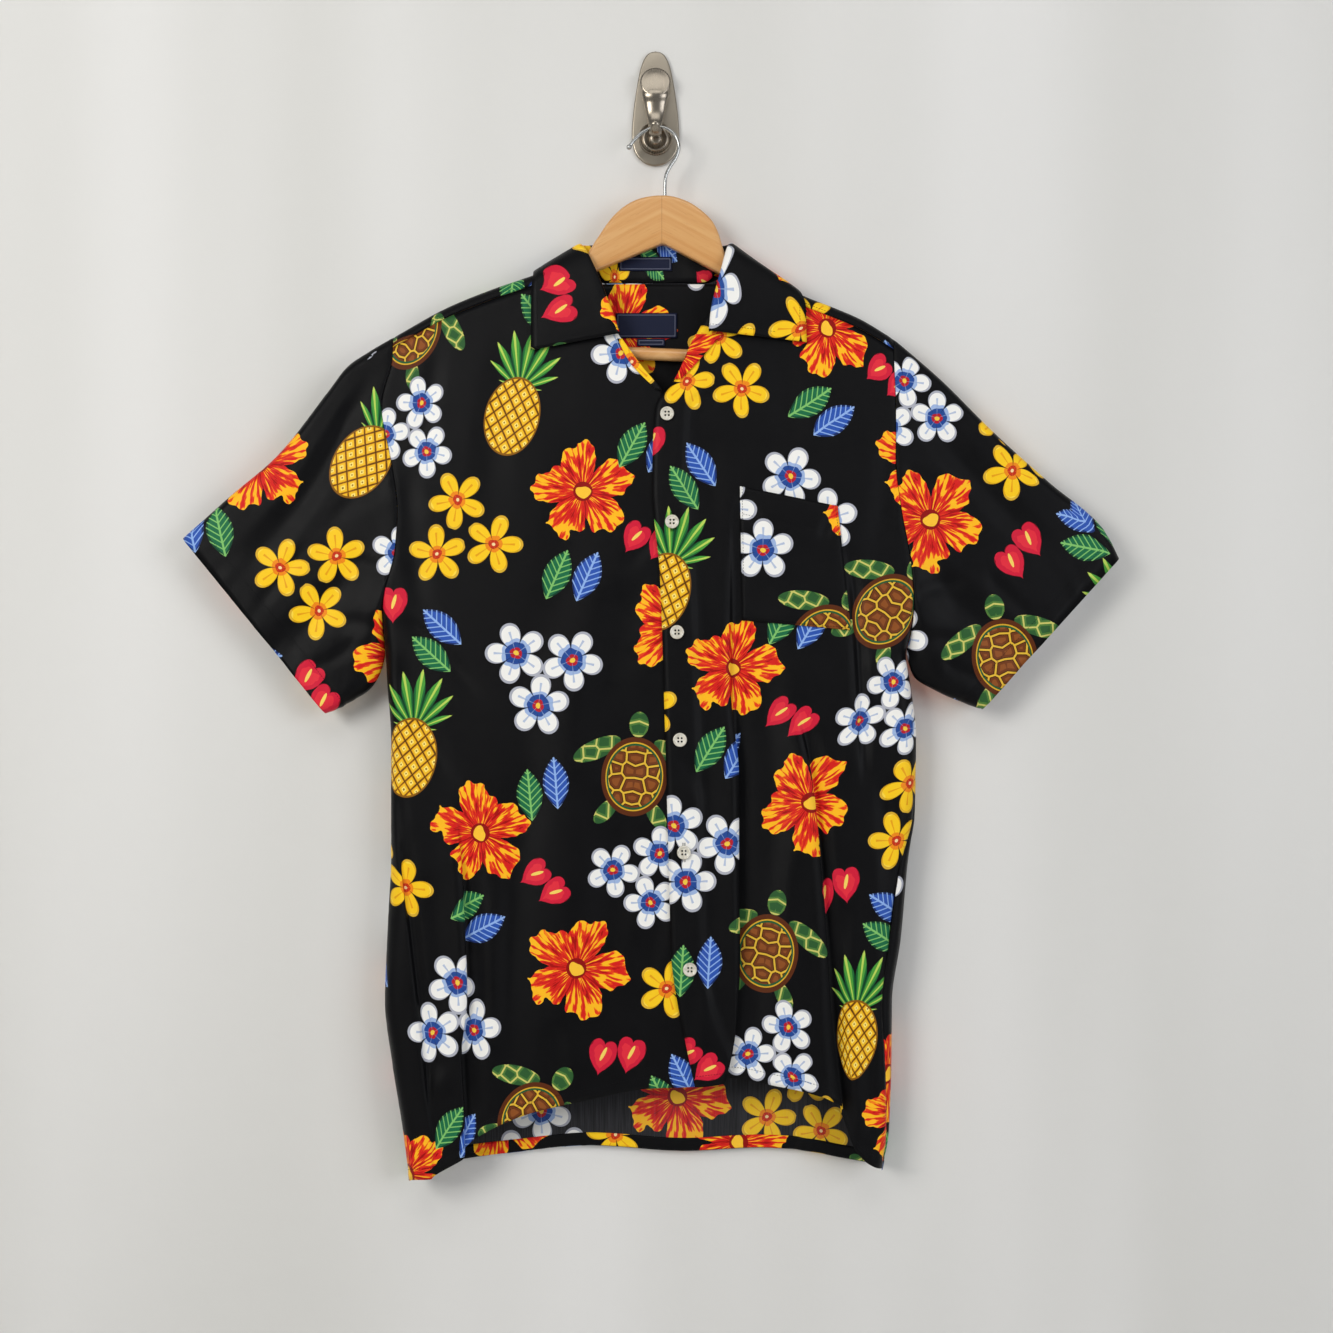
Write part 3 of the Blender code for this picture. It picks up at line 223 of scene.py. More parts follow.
# %% Large folds of the hanging cloth
# `lip` is the width of the steep side and `tail` that of the soft side; a negative depth is a ridge
FOLDS = table(
    "name panel depth lip tail start end fade path",
    ("placket_fold", "left_front", 9, 4, 58, -350, -1000, 260,
     ((-150, 110), (-350, 71), (-712, 71), (-781, 72), (-850, 68), (-920, 52))),
    ("pocket_fold", "left_front", 7, 7, 16, -541, -1000, 90,
     ((-150, 160), (-541, 131), (-602, 140), (-700, 150), (-777, 156), (-840, 160), (-920, 169))),
    ("side_fold_right", "left_front", 5, 6, 10, -400, -640, 80,
     ((-150, 190), (-376, 169), (-451, 181), (-560, 188), (-700, 192), (-790, 186), (-920, 184))),
    ("belly_ridge", "right_front", -4, 45, 60, -420, -1000, 160,
     ((-150, -100), (-500, -75), (-920, -88))),
    ("left_valley", "right_front", 7, 8, 22, -634, -1000, 110,
     ((-150, -160), (-634, -177), (-762, -173), (-822, -171), (-870, -176), (-925, -173))),
    ("side_crease", "right_front", 4, 9, 12, -660, -980, 70,
     ((-150, -205), (-640, -226), (-696, -228), (-756, -222), (-850, -211), (-960, -200))),
    ("back_pleat", "back", 6, 14, 34, -360, -1000, 200,
     ((-150, -70), (-290, -72), (-640, -92), (-990, -108))),
    ("back_roll", "back", 5, 30, 26, -420, -1000, 200,
     ((-150, 30), (-290, 30), (-600, 22), (-990, 44))),
    ("back_side", "back", 5, 12, 26, -560, -1000, 120,
     ((-150, 140), (-290, 142), (-640, 150), (-990, 138))),
)
print(len(FOLDS), "large folds")

# %% [markdown]
# ## One function for the body's surface
#
# `body_point` answers where a spot of the cloth hangs in space. It takes `s`, the way along the cloth
# from the middle of the shirt, and the height `z`. Because `s` is measured along the cloth, it also
# serves as the texture coordinate, and the print bends into the folds without being stretched.

# %% The body's surface
SIGN = {"left": -1, "right": 1}
FAR_OUT = 400.0  # beyond either side, to ask for the outline itself
ridge_z = smooth(RIDGE, "x", "z")
depth_front = smooth(DEPTH, "drop", "front")
depth_back = smooth(DEPTH, "drop", "back")
outline = {side: smooth(BODY, "z", side) for side in ("left", "right")}
rounding = {side: smooth(BODY, "z", side + "_round") for side in ("left", "right")}
right_turn = smooth(BODY, "z", "right_turn")
front_hem = smooth(FRONT_HEM, "x", "z")
back_hem = smooth(BACK_HEM, "x", "z")
placket_edges = {"right_front": RIGHT_FRONT_EDGE, "left_front": LEFT_FRONT_EDGE}
front_edge = {panel: smooth(rows, "z", "x") for panel, rows in placket_edges.items()}
for fold in FOLDS:
    fold["line"] = smooth([{"z": z, "x": x} for z, x in fold["path"]], "z", "x")


def fold_depth(panel, x, z):
    """How far the folds of one panel push the cloth in at a place."""
    pushed = 0.0
    for fold in FOLDS:
        if fold["panel"] != panel:
            continue
        away = x - fold["line"](z)
        across = np.where(away < 0, 1 + away / fold["lip"], 1 - away / fold["tail"])
        fade = ease((fold["start"] - z) / fold["fade"]) * ease((z - fold["end"]) / fold["fade"])
        pushed = pushed + fold["depth"] * ease(across) * fade
    return pushed


def side_shape(s, z):
    """The flat half width on this side, the rounding of its edge, and the middle and half of the depth."""
    left = s < 0
    round_x = np.where(left, rounding["left"](z), rounding["right"](z))
    flat = np.where(left, -outline["left"](z), outline["right"](z)) - round_x
    place = np.where(left, -1, 1) * np.minimum(np.abs(s), flat)
    drop = ridge_z(place) - z
    front, back = depth_front(drop), depth_back(drop)
    return flat, round_x, (front + back) / 2, (back - front) / 2


def quarter_length(round_x, half):
    """The length of the cloth round a quarter of the side's rounding."""
    return math.pi / 2 * np.sqrt((round_x**2 + half**2) / 2)


def body_point(panel, s, z):
    """Points of the outer cloth: s runs along the cloth from the middle, z is the height."""
    s, z = np.broadcast_arrays(np.asarray(s, float), np.asarray(z, float))
    face = 1 if panel in ("back", "yoke") else -1
    flat, round_x, middle, half = side_shape(s, z)
    turn = np.maximum(0, (np.abs(s) - flat) / quarter_length(round_x, half)) * math.pi / 2
    x = np.sign(s) * (np.minimum(np.abs(s), flat) + round_x * np.sin(turn))
    pushed = fold_depth(panel, s, z) * np.maximum(0, np.cos(turn))
    y = middle + face * (half * np.cos(turn) - pushed)
    if panel == "left_front":
        over = (front_edge[panel](z) + PLACKET_REACH - s) / (PLACKET_REACH - PLACKET_WIDE)
        y = y - PLACKET_LIFT * ease(over) * ease((PLACKET_TOP_Z - z) / 20)
    return np.stack([x, y, z], axis=-1)


def yoke_point(s, height):
    """Points of the yoke: height runs up the back, over the ridge and down the front."""
    s, height = np.broadcast_arrays(np.asarray(s, float), np.asarray(height, float))
    start = ridge_z(s) - RIDGE_ROUND
    on_back = body_point("yoke", s, np.minimum(height, start))
    angle = np.clip((height - start) / RIDGE_ROUND, 0, math.pi)
    past = np.maximum(0, height - start - math.pi * RIDGE_ROUND)
    y = np.where(height > start, HANGER_Y + RIDGE_ROUND * np.cos(angle), on_back[..., 1])
    z = np.where(height > start, start + RIDGE_ROUND * np.sin(angle) - past, height)
    return np.stack([on_back[..., 0], y, z], axis=-1)


def surface_of(panel):
    return yoke_point if panel == "yoke" else lambda s, z: body_point(panel, s, z)


def side_seam(side, z, face):
    """Where the side seam lies, measured along the cloth of the front (-1) or the back (1)."""
    sign = SIGN[side]
    flat, round_x, _, half = side_shape(sign * FAR_OUT, z)
    turn = 1.0 if side == "left" else float(right_turn(z))
    turn = 2.0 - turn if face > 0 else turn
    return sign * float(flat + quarter_length(round_x, half) * turn - SEAM / 2)


ARMHOLE_LINE = {
    (side, face): smooth(ARMHOLE + [{"z": ARMPIT_Z, side: side_seam(side, ARMPIT_Z, face)}], "z", side)
    for side in ("left", "right")
    for face in (-1, 1)
}


def side_edge(side, z, face):
    """A panel's outer edge: the armhole above the armpit, the side seam below."""
    if z >= ARMPIT_Z:
        return float(ARMHOLE_LINE[side, face](z))
    return side_seam(side, z, face)


print("the front's centre at the chest:", body_point("right_front", 0, -500).round(1))
# %% [markdown]
# ## Small creases, seams and hems
#
# Large folds give the silhouette, but cloth looks real by its small dents: drags that run from the
# armpit, a soft crease left from folding, puckers where a seam is sewn. They are placed one by one, each a
# little different, also on the back where the photograph doesn't look. Noise alone would look like
# crumpled paper, because real creases start at something that pulls: a seam, a button or a corner.

# %% Small creases
# each runs from one spot (s, z) to another; a negative depth is a ridge
CREASE_COLUMNS = "s_from z_from s_to z_to depth width bend"
CREASES = {
    "right_front": table(
        CREASE_COLUMNS,
        (-236, -505, -176, -640, 3.3, 15, 6), (-238, -470, -150, -560, 2.4, 12, -5),
        (-226, -330, -206, -500, 1.8, 16, 4), (-196, -225, -216, -350, 1.5, 13, 3),
        (-128, -205, -150, -420, 1.3, 26, 8), (-70, -290, -108, -560, 1.2, 34, -8),
        (-8, -420, -60, -640, 1.7, 30, 10), (14, -392, -34, -440, 1.5, 10, 4),
        (20, -492, -30, -512, 1.4, 9, -3), (24, -590, -46, -640, 1.7, 12, 5),
        (-40, -640, -64, -890, 2.4, 30, -9), (-112, -600, -132, -900, 2.7, 26, 8),
        (-142, -700, -146, -930, -2.4, 16, 3), (-206, -700, -196, -860, 2.4, 12, -4),
        (-234, -620, -224, -760, 2.2, 10, 2), (10, -700, -16, -880, 1.8, 20, 4),
        (-196, -880, -204, -975, -3.0, 12, 2), (-90, -840, -84, -915, 2.1, 14, 2),
    ),
    "left_front": table(
        CREASE_COLUMNS,
        (226, -498, 176, -590, 3.3, 14, -6), (228, -470, 186, -520, 2.2, 10, 4),
        (214, -300, 196, -450, 1.7, 15, -4), (168, -374, 150, -410, 1.8, 9, 2),
        (76, -360, 96, -400, 1.5, 9, -2), (110, -215, 120, -350, 1.3, 22, -6), (46, -300, 60, -420, 1.2, 18, 5),
        (12, -392, 46, -430, 1.4, 10, 3), (20, -492, 60, -530, 1.4, 10, -3), (24, -594, 60, -650, 1.4, 12, 4),
        (100, -520, 108, -760, 2.5, 20, -6), (128, -640, 122, -880, -2.2, 16, 5),
        (206, -610, 214, -820, 2.4, 13, -3), (172, -720, 168, -930, 2.4, 13, 4),
        (92, -760, 86, -895, 2.4, 15, -3), (50, -800, 44, -898, -1.8, 14, 2),
        (196, -850, 200, -970, 2.4, 12, 3),
    ),
    "back": table(
        CREASE_COLUMNS,
        (-236, -500, -170, -640, 3.3, 18, 7), (-228, -340, -214, -490, 1.6, 15, 4),
        (-190, -520, -120, -700, 2.4, 26, -8), (-40, -320, -56, -700, 1.6, 34, 7),
        (4, -640, -14, -950, 2.8, 28, -6), (74, -310, 88, -560, 1.6, 30, 6), (92, -600, 80, -955, 2.7, 22, -7),
        (232, -505, 170, -620, 3.3, 16, -6), (216, -350, 206, -480, 1.5, 14, -3),
        (196, -640, 188, -960, 2.8, 18, 5), (-196, -700, -206, -980, 2.8, 18, -5),
        (-150, -800, -140, -968, -2.4, 16, 3),
    ),
    "yoke": table(
        CREASE_COLUMNS,
        (-150, -200, -128, -284, 1.2, 16, 3), (-60, -190, -40, -284, 0.9, 20, -4),
        (52, -196, 66, -284, 1.0, 18, 3), (150, -212, 138, -284, 1.2, 16, -3),
    ),
}


def crease_relief(panel, s, z):
    """How far the small creases of a panel push the cloth in, in millimetres."""
    pushed = np.zeros(np.shape(s))
    for row in CREASES[panel]:
        start = np.array([row["s_from"], row["z_from"]], float)
        way = np.array([row["s_to"], row["z_to"]], float) - start
        length = float(np.hypot(*way))
        way /= length
        along = ((s - start[0]) * way[0] + (z - start[1]) * way[1]) / length
        bow = row["bend"] * np.sin(np.pi * np.clip(along, 0, 1))
        across = (s - start[0]) * way[1] - (z - start[1]) * way[0] - bow
        profile = ease(1 - np.abs(across) / row["width"])
        ends = ease(along / 0.22) * ease((1 - along) / 0.45)
        pushed += row["depth"] * profile * ends
    return pushed


def waves(place, *lengths):
    """A steady, uneven wave: sines of the given lengths with fixed phases."""
    return sum(np.sin(2 * np.pi * place / length + 1.7 * k) for k, length in enumerate(lengths)) / len(lengths)


print("small creases:", {panel: len(rows) for panel, rows in CREASES.items()})

# %% [markdown]
# ## From points to a thin shell
#
# A shell starts as a grid of points, column by column. The normals of the grid carry it inwards by the
# thickness of the cloth, and faces close the rim. A Solidify modifier could do this, but here both
# faces need their own finish, the print outside and its pale reverse inside, and exact texture
# coordinates, so it is made directly.

# %% Shell maker
SHELL = 0.5  # thickness of the sewn cloth in millimetres


def grid_normals(grid, closed=False):
    """Unit normals of a grid of points from its neighbours."""
    if closed:
        along = np.roll(grid, -1, axis=0) - np.roll(grid, 1, axis=0)
    else:
        along = np.gradient(grid, axis=0)
    normal = np.cross(along, np.gradient(grid, axis=1))
    return normal / np.maximum(np.linalg.norm(normal, axis=-1, keepdims=True), 1e-9)


def outward_normals(grid, away, closed=False):
    """Grid normals turned so that they mostly point along `away`."""
    normal = grid_normals(grid, closed)
    return normal * (1 if float(np.sum(normal * away)) > 0 else -1)


def on_cloth(across, up, start):
    """Texture coordinates in metres: a way across and up, from a start on the cloth in mm."""
    across, up = np.broadcast_arrays(across, up)
    return np.stack([across + start[0], up + start[1]], axis=-1) * MM


def linked(name, data):
    """A new object, in the scene."""
    made = bpy.data.objects.new(name, data)
    bpy.context.scene.collection.objects.link(made)
    return made


def plain_mesh(name, vertices, edges=(), faces=()):
    mesh = bpy.data.meshes.new(name)
    mesh.from_pydata(vertices, edges, faces)
    return linked(name, mesh)


def shell(name, outer, normals, cloth_uv, closed=False, thick=SHELL, finishes=()):
    """A closed thin shell: outer points in mm, outward normals, and (u, v) in metres on the cloth."""
    columns, rows = outer.shape[:2]
    count = columns * rows
    points = np.concatenate([outer.reshape(-1, 3), (outer - thick * normals).reshape(-1, 3)]) * MM
    turn = 1 if np.cross(outer[1, 0] - outer[0, 0], outer[0, 1] - outer[0, 0]) @ normals[0, 0] > 0 else -1
    grid = np.arange((columns + closed) * rows).reshape(-1, rows)
    corners = [grid[:-1, :-1], grid[1:, :-1], grid[1:, 1:], grid[:-1, 1:]]
    quads = np.stack(corners, axis=-1).reshape(-1, 4)[:, ::turn]
    spots = [np.stack([quads, quads[:, ::-1]], axis=1).reshape(-1, 4)]
    inner = [np.tile([[0], [count]], (len(quads), 4))]
    rims = [(grid[:, 0], -turn), (grid[:, -1], turn)]
    for line, way in rims if closed else rims + [(grid[0], turn), (grid[-1], -turn)]:
        spots.append(np.stack([line[:-1], line[1:], line[1:], line[:-1]], axis=-1)[:, ::way])
        inner.append(np.tile([0, 0, count, count], (len(line) - 1, 1))[:, ::way])
    spots, inner = np.concatenate(spots), np.concatenate(inner)
    made = plain_mesh(name, points.tolist(), faces=(spots % count + inner).tolist())
    mesh = made.data
    places = cloth_uv.reshape(-1, 2)[spots.reshape(-1)].reshape(-1)
    mesh.uv_layers.new(name="cloth").data.foreach_set("uv", places.astype(np.float32))
    slots = [0, 1] * len(quads)
    mesh.polygons.foreach_set("material_index", slots + [0] * (len(spots) - len(slots)))
    mesh.shade_smooth()
    for finish in finishes:
        mesh.materials.append(finish)
    print(f"{name}: {columns} x {rows} points, {2 * len(spots)} triangles")
    return made


def dress(piece, slot, *nodes):
    """Every piece rides on the one body and stands for its solids; the slot is not used."""
    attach(piece, BODY_NAME)
    if nodes:
        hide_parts(*nodes)
    return piece
# %% [markdown]
# ## Columns that follow the folds
#
# A plain grid would cut across the folds and blunt their sharp lips. Here the columns follow guide
# lines: each fold's lip, bottom and tail, the placket and the side edges. Between two guides the
# columns are spread evenly, about 5 mm apart.

# %% Guides and spacing
UPPER_ROWS, LOWER_ROWS, YOKE_ROWS, WRAP_ROWS = 58, 84, 22, 12
COLUMN = 5.5
SHOULDER_Z = -217.0  # where the shoulder seam meets the armhole


def spaced(guides):
    """Positions between neighbouring guides, as (guide number, share of the way to the next)."""
    marks = []
    for number, (one, two) in enumerate(zip(guides, guides[1:])):
        count = max(3, round(abs(two - one) / COLUMN))
        marks += [(number, step / count) for step in range(count)]
    return marks + [(len(guides) - 1, 0.0)]


def panel_guides(panel, z):
    """The lines that a panel's columns follow at one height, from its left to its right."""
    lines = []
    for fold in FOLDS:
        if fold["panel"] == panel:
            line = float(fold["line"](z))
            lines += [line - fold["lip"], line, line + min(fold["tail"], 12)]
    face = 1 if panel == "back" else -1
    for side, sign in SIGN.items():
        if panel == side + "_front":
            continue  # this edge of the front is its placket
        edge = side_edge(side, z, face)
        flat = float(side_shape(sign * FAR_OUT, z)[0])
        first = sign * min(flat, abs(edge) - 6)
        lines += [first, (first + edge) / 2, edge]
    if panel != "back":
        inner = float(front_edge[panel](z))
        lines.append(inner)
        if panel == "left_front":
            lines += [inner + PLACKET_WIDE, inner + PLACKET_REACH]
    return np.array(sorted(lines))


def columns_of(panel, marks, z):
    """Where the marked columns lie at their own heights: z has one row of heights for each mark."""
    heights = np.arange(-1004.0, -130.0, 4.0)
    lines = np.array([panel_guides(panel, height) for height in heights])
    found = np.empty_like(z)
    for k, (number, share) in enumerate(marks):
        line = lines[:, number]
        if share:
            line = line * (1 - share) + lines[:, number + 1] * share
        found[k] = np.interp(z[k], heights, line)
    return found


def panel_grid(panel, top, hem):
    """(s, z) of every point of a panel: rows from its top seam to the armpit and on to its hem."""
    marks = spaced(panel_guides(panel, -600.0))
    high, low = (np.full((len(marks), 1), start) for start in (-200.0, -940.0))
    for _ in range(12):
        high = top(columns_of(panel, marks, high))
        low = hem(columns_of(panel, marks, low))
    upper_rows = UPPER_ROWS if panel != "back" else UPPER_ROWS - YOKE_ROWS
    upper = np.linspace(0, 1, upper_rows, endpoint=False)
    lower = np.linspace(0, 1, LOWER_ROWS + 1)
    z = np.concatenate([high + (ARMPIT_Z - high) * upper, ARMPIT_Z + (low - ARMPIT_Z) * lower], axis=1)
    return columns_of(panel, marks, z), z


def shoulder_seam_z(s):
    return ridge_z(s) - SHOULDER_SEAM


def back_top(s):
    return np.full_like(s, YOKE_Z - SEAM / 2)


front_s, front_z = panel_grid("right_front", shoulder_seam_z, front_hem)
print("the right front's grid:", front_s.shape, "from", front_z.max().round(), "to", front_z.min().round())

# %% [markdown]
# ## What sewing does to the cloth
#
# A seam pulls the cloth in along its line and puckers it a little, and a hem is three layers thick, so
# it stands out as a band with a groove where it is stitched. `sewn_relief` adds these by the distance
# to each edge of the grid. The waves have uneven lengths, so that no two puckers are alike.

# %% Relief of seams and hems
HEM_DEEP = 10.0  # how deep the hems are turned up
SEAM_DIP = 2.6  # how wide the dip along a seam is


def sewn_relief(s, z, has_hem=True):
    """How far seams and the hem push the cloth in, in millimetres."""
    pushed = np.zeros_like(s)
    for column in (0, -1):
        away = np.abs(s - s[column][None, :])
        pucker = 0.22 * waves(z, 17.0, 11.3, 29.0) * np.exp(-away / 9)
        pushed += 0.45 * dip(away, SEAM_DIP) + pucker
    top = np.abs(z - z[:, :1])
    pushed += 0.35 * dip(top, SEAM_DIP) + 0.15 * waves(s, 19.0, 12.7) * np.exp(-top / 8)
    if has_hem:
        up = np.abs(z - z[:, -1:])
        pushed += 0.4 * dip(up - HEM_DEEP, 2.2) - 0.45 * ease((HEM_DEEP + 1.5 - up) / 3)
        pushed += 0.5 * waves(s, 23.0, 37.0, 15.1) * np.exp(-up / 14)
    return pushed


# tucks where the hanging cloth folds over itself: how far the crest leans over the valley and stands
# out, and the height below which it does
TUCKS = table(
    "fold lean lift start fade",
    ("placket_fold", 9.0, 3.0, -530, 90), ("pocket_fold", 7.5, 2.5, -548, 90),
    ("left_valley", 8.0, 2.5, -620, 100), ("side_crease", 5.0, 1.5, -650, 90),
    ("back_pleat", 4.0, 1.5, -420, 200), ("back_side", 3.0, 1.0, -560, 150),
)
TUCK_REACH = 18.0  # how much cloth behind the crest follows it


def tucked(panel, s, z):
    """How far the tucks move the cloth sideways and outwards."""
    lean, lift = np.zeros_like(s), np.zeros_like(s)
    for row in TUCKS:
        fold = next(fold for fold in FOLDS if fold["name"] == row["fold"])
        if fold["panel"] != panel:
            continue
        away = s - fold["line"](z) + fold["lip"]
        near = np.where(away < 0, ease(1 + away / TUCK_REACH), ease(1 - away / fold["lip"]))
        near = near * ease((row["start"] - z) / row["fade"])
        lean, lift = lean + row["lean"] * near, lift + row["lift"] * near
    return lean, lift


def along_columns(points, s):
    """The way along the folded cloth, row by row, counted from the column that is nearest the middle."""
    run = run_along(points)
    middle = int(np.argmin(np.abs(s[:, -1])))
    return run - run[middle] + s[middle]


def body_shell(name, panel, s, z, cloth_start, finishes):
    """The shell of one body panel, with its creases, seams and hem pressed into it."""
    smooth_points = surface_of(panel)(s, z)
    away = (smooth_points - (0, HANGER_Y, 0)) * (0, 1, 0)
    pushed = crease_relief(panel, s, z) + sewn_relief(s, z, panel != "yoke")
    points = smooth_points - pushed[..., None] * outward_normals(smooth_points, away)
    lean, lift = tucked(panel, s, z)
    points += np.stack([lean, lift * (1 if panel in ("back", "yoke") else -1), 0 * lean], axis=-1)
    normals = outward_normals(points, away)
    run = along_columns(points, s)
    return shell(name, points, normals, on_cloth(run, z, cloth_start), finishes=finishes), points, normals


print("the hem's band stands out by", round(float(-sewn_relief(front_s, front_z).min()), 2), "mm at most")
# %% [markdown]
# ## The yoke
#
# The yoke is the double piece over the shoulders. Its columns run up the back, turn over the hanger's
# arms and end at the front's shoulder seam, which lies a little in front of the ridge. Round the neck
# they end at the neckline instead, and lean, so that the rows stay even.

# %% Columns of the yoke
# the neckline from the middle to the shoulder: how high the cloth reaches up the back and over the ridge
YOKE_NECK = table(
    "s height",
    (0, BACK_NECK_Z), (24, BACK_NECK_Z), (46, BACK_NECK_Z), (56, -163.5), (62.5, -158.5),
    (66, -150), (67.2, -144.5), (67.9, -139), (68.5, -132.5), (69.5, -126.5),
)
# how much farther out the columns start at the yoke's seam, inside and outside the neckline
NECK_LEAN, SHOULDER_LEAN = 24.0, 31.0
yoke_neck = smooth(YOKE_NECK, "s", "height")


def yoke_rows(turn, high):
    """The heights of a column's rows: up the back to where it turns over the ridge, and on to its end."""
    up = np.linspace(YOKE_Z + SEAM / 2, turn, YOKE_ROWS, endpoint=False)
    return np.concatenate([up, np.linspace(turn, high, WRAP_ROWS + 1)])


def shoulder_rows(s):
    """The rows of a column that ends at the shoulder seam."""
    start = float(ridge_z(s)) - RIDGE_ROUND
    return yoke_rows(start, start + (math.pi - 1) * RIDGE_ROUND + SHOULDER_SEAM - SEAM)


def neck_column(sign, s):
    """A column of the yoke that ends at the neckline; it leans outwards towards the yoke's seam."""
    high = float(yoke_neck(s))
    turn = min(float(ridge_z(s)) - RIDGE_ROUND, high - 8)
    rows = yoke_rows(turn, high)
    lean = NECK_LEAN * s / NECK_HALF * np.maximum(0, (turn - rows) / (turn - rows[0]))
    return np.stack([sign * (s + lean), rows], axis=-1)


def armhole_edge(side, heights):
    """The yoke's edge at the armhole; past the shoulder it keeps its place."""
    return np.array([side_edge(side, min(height, SHOULDER_Z), 1) for height in heights])


def shoulder_column(side, s):
    """A column of the yoke that ends at a front's shoulder seam."""
    shoulder = side_edge(side, SHOULDER_Z, 1)
    near_edge = max(0.0, 1 - abs(shoulder - s) / 60)
    near_neck = max(0.0, 1 - (abs(s) - NECK_HALF) / 90)
    rows = shoulder_rows(s)
    shift = armhole_edge(side, rows) - shoulder
    lean = SIGN[side] * SHOULDER_LEAN * np.maximum(0, (rows[YOKE_ROWS] - rows) / (rows[YOKE_ROWS] - rows[0]))
    return np.stack([s + shift * near_edge + lean * near_neck, rows], axis=-1)


def yoke_grid():
    """(s, height) of every point of the yoke, from its left armhole to its right one."""
    half = [0, 8, 16, 24, 31, 38, 44, 49, 53, 56.5, 59.5, 62, 64, 65.6, 66.6, 67.4, 68.1, 68.8, 69.5]
    columns = [shoulder_column("left", s) for s in np.linspace(-240, -71, 34)]
    columns += [neck_column(-1, s) for s in half[:0:-1]] + [neck_column(1, s) for s in half]
    columns += [shoulder_column("right", s) for s in np.linspace(71, 218, 30)]
    return np.array(columns).transpose(2, 0, 1)


yoke_s, yoke_height = yoke_grid()
print("the yoke's grid:", yoke_s.shape)

# %% [markdown]
# ## The sleeves
#
# A sleeve is a tube set into the armhole. Its first ring repeats the armhole's edge, a seam away from
# it, and the rings turn into flat ovals towards the hem, as a sleeve hangs. The oval stations say where
# the top fold and the underarm lie.

# %% Stations of the sleeves
RIGHT_SLEEVE = table(
    "along top_x top_z under_x under_z half mid_y",
    (0.00, -238.3, -217, -248, -510, 9.5, -24),
    (0.14, -262, -231, -253, -527, 10, -24.5),
    (0.26, -281, -244, -262, -541, 10.5, -25),
    (0.38, -300, -268, -272, -548, 10.5, -25.5),
    (0.60, -346, -326, -286, -556, 10.5, -26),
    (0.80, -390, -364, -295, -560, 10, -26.5),
    (1.00, -432.5, -402.4, -302.4, -562.6, 9, -27),
)
LEFT_SLEEVE = table(
    "along top_x top_z under_x under_z half mid_y",
    (0.00, 218.3, -219, 230.5, -510, 9.5, -24), (0.14, 236, -234, 238, -530, 10, -24.5),
    (0.30, 262, -257, 253, -540, 10.5, -25), (0.55, 310, -305, 274, -550, 10.5, -26),
    (0.78, 362, -352, 288, -555, 10, -26.5), (0.94, 410, -393, 297, -558, 9, -27),
    (1.00, 424.5, -420.7, 300, -558.5, 9, -27),
)
print("the right sleeve's hem is", round(math.hypot(432.5 - 302.4, 402.4 - 562.6)), "mm wide, laid flat")

# %% Rings of the sleeves
SLEEVE_RINGS = 44
NEAR = 0.4  # how far off a neighbour is taken to find which way a surface faces

# dents against the way up from the underarm: their places at the armhole and at the hem
SLEEVE_FOLD_COLUMNS = "depth width at_armhole at_hem start end"
SLEEVE_FOLDS = {
    "right": table(
        SLEEVE_FOLD_COLUMNS, (3.2, 0.10, 0.86, 0.70, 0.05, 0.95), (3.0, 0.12, 0.40, 0.34, 0.10, 1.30)
    ),
    "left": table(
        SLEEVE_FOLD_COLUMNS, (3.2, 0.10, 0.84, 0.74, 0.05, 0.90), (3.0, 0.12, 0.36, 0.30, 0.10, 1.30)
    ),
}


def armhole_places(side):
    """The armhole's edge all round, as (surface, s, height): up the front, over, down the back."""
    front_panel = "right_front" if side == "left" else "left_front"
    high = float(shoulder_seam_z(side_edge(side, SHOULDER_Z, -1)))
    over = shoulder_rows(side_edge(side, SHOULDER_Z, 1))[-2::-1]
    down = np.linspace(YOKE_Z - SEAM / 2, ARMPIT_Z, UPPER_ROWS - YOKE_ROWS, endpoint=False)[1:]
    places = [(front_panel, side_edge(side, z, -1), z) for z in np.linspace(ARMPIT_Z, high, UPPER_ROWS + 1)]
    places += [("yoke", s, z) for s, z in zip(armhole_edge(side, over), over)]
    return places + [("back", side_edge(side, z, 1), z) for z in down]


def armhole_ring(side):
    """The sleeve's first ring, a seam away from the body's edge."""
    edge, out = [], []
    for panel, s, height in armhole_places(side):
        surface = surface_of(panel)
        along = surface(s + NEAR, height) - surface(s - NEAR, height)
        up = surface(s, height + NEAR) - surface(s, height - NEAR)
        edge.append(surface(s, height))
        out.append(np.cross(along, up) * (-1 if panel in ("back", "yoke") else 1))
    edge = np.array(edge)
    along = np.roll(edge, -1, axis=0) - np.roll(edge, 1, axis=0)
    return edge + SEAM * SIGN[side] * unit(np.cross(along, out))


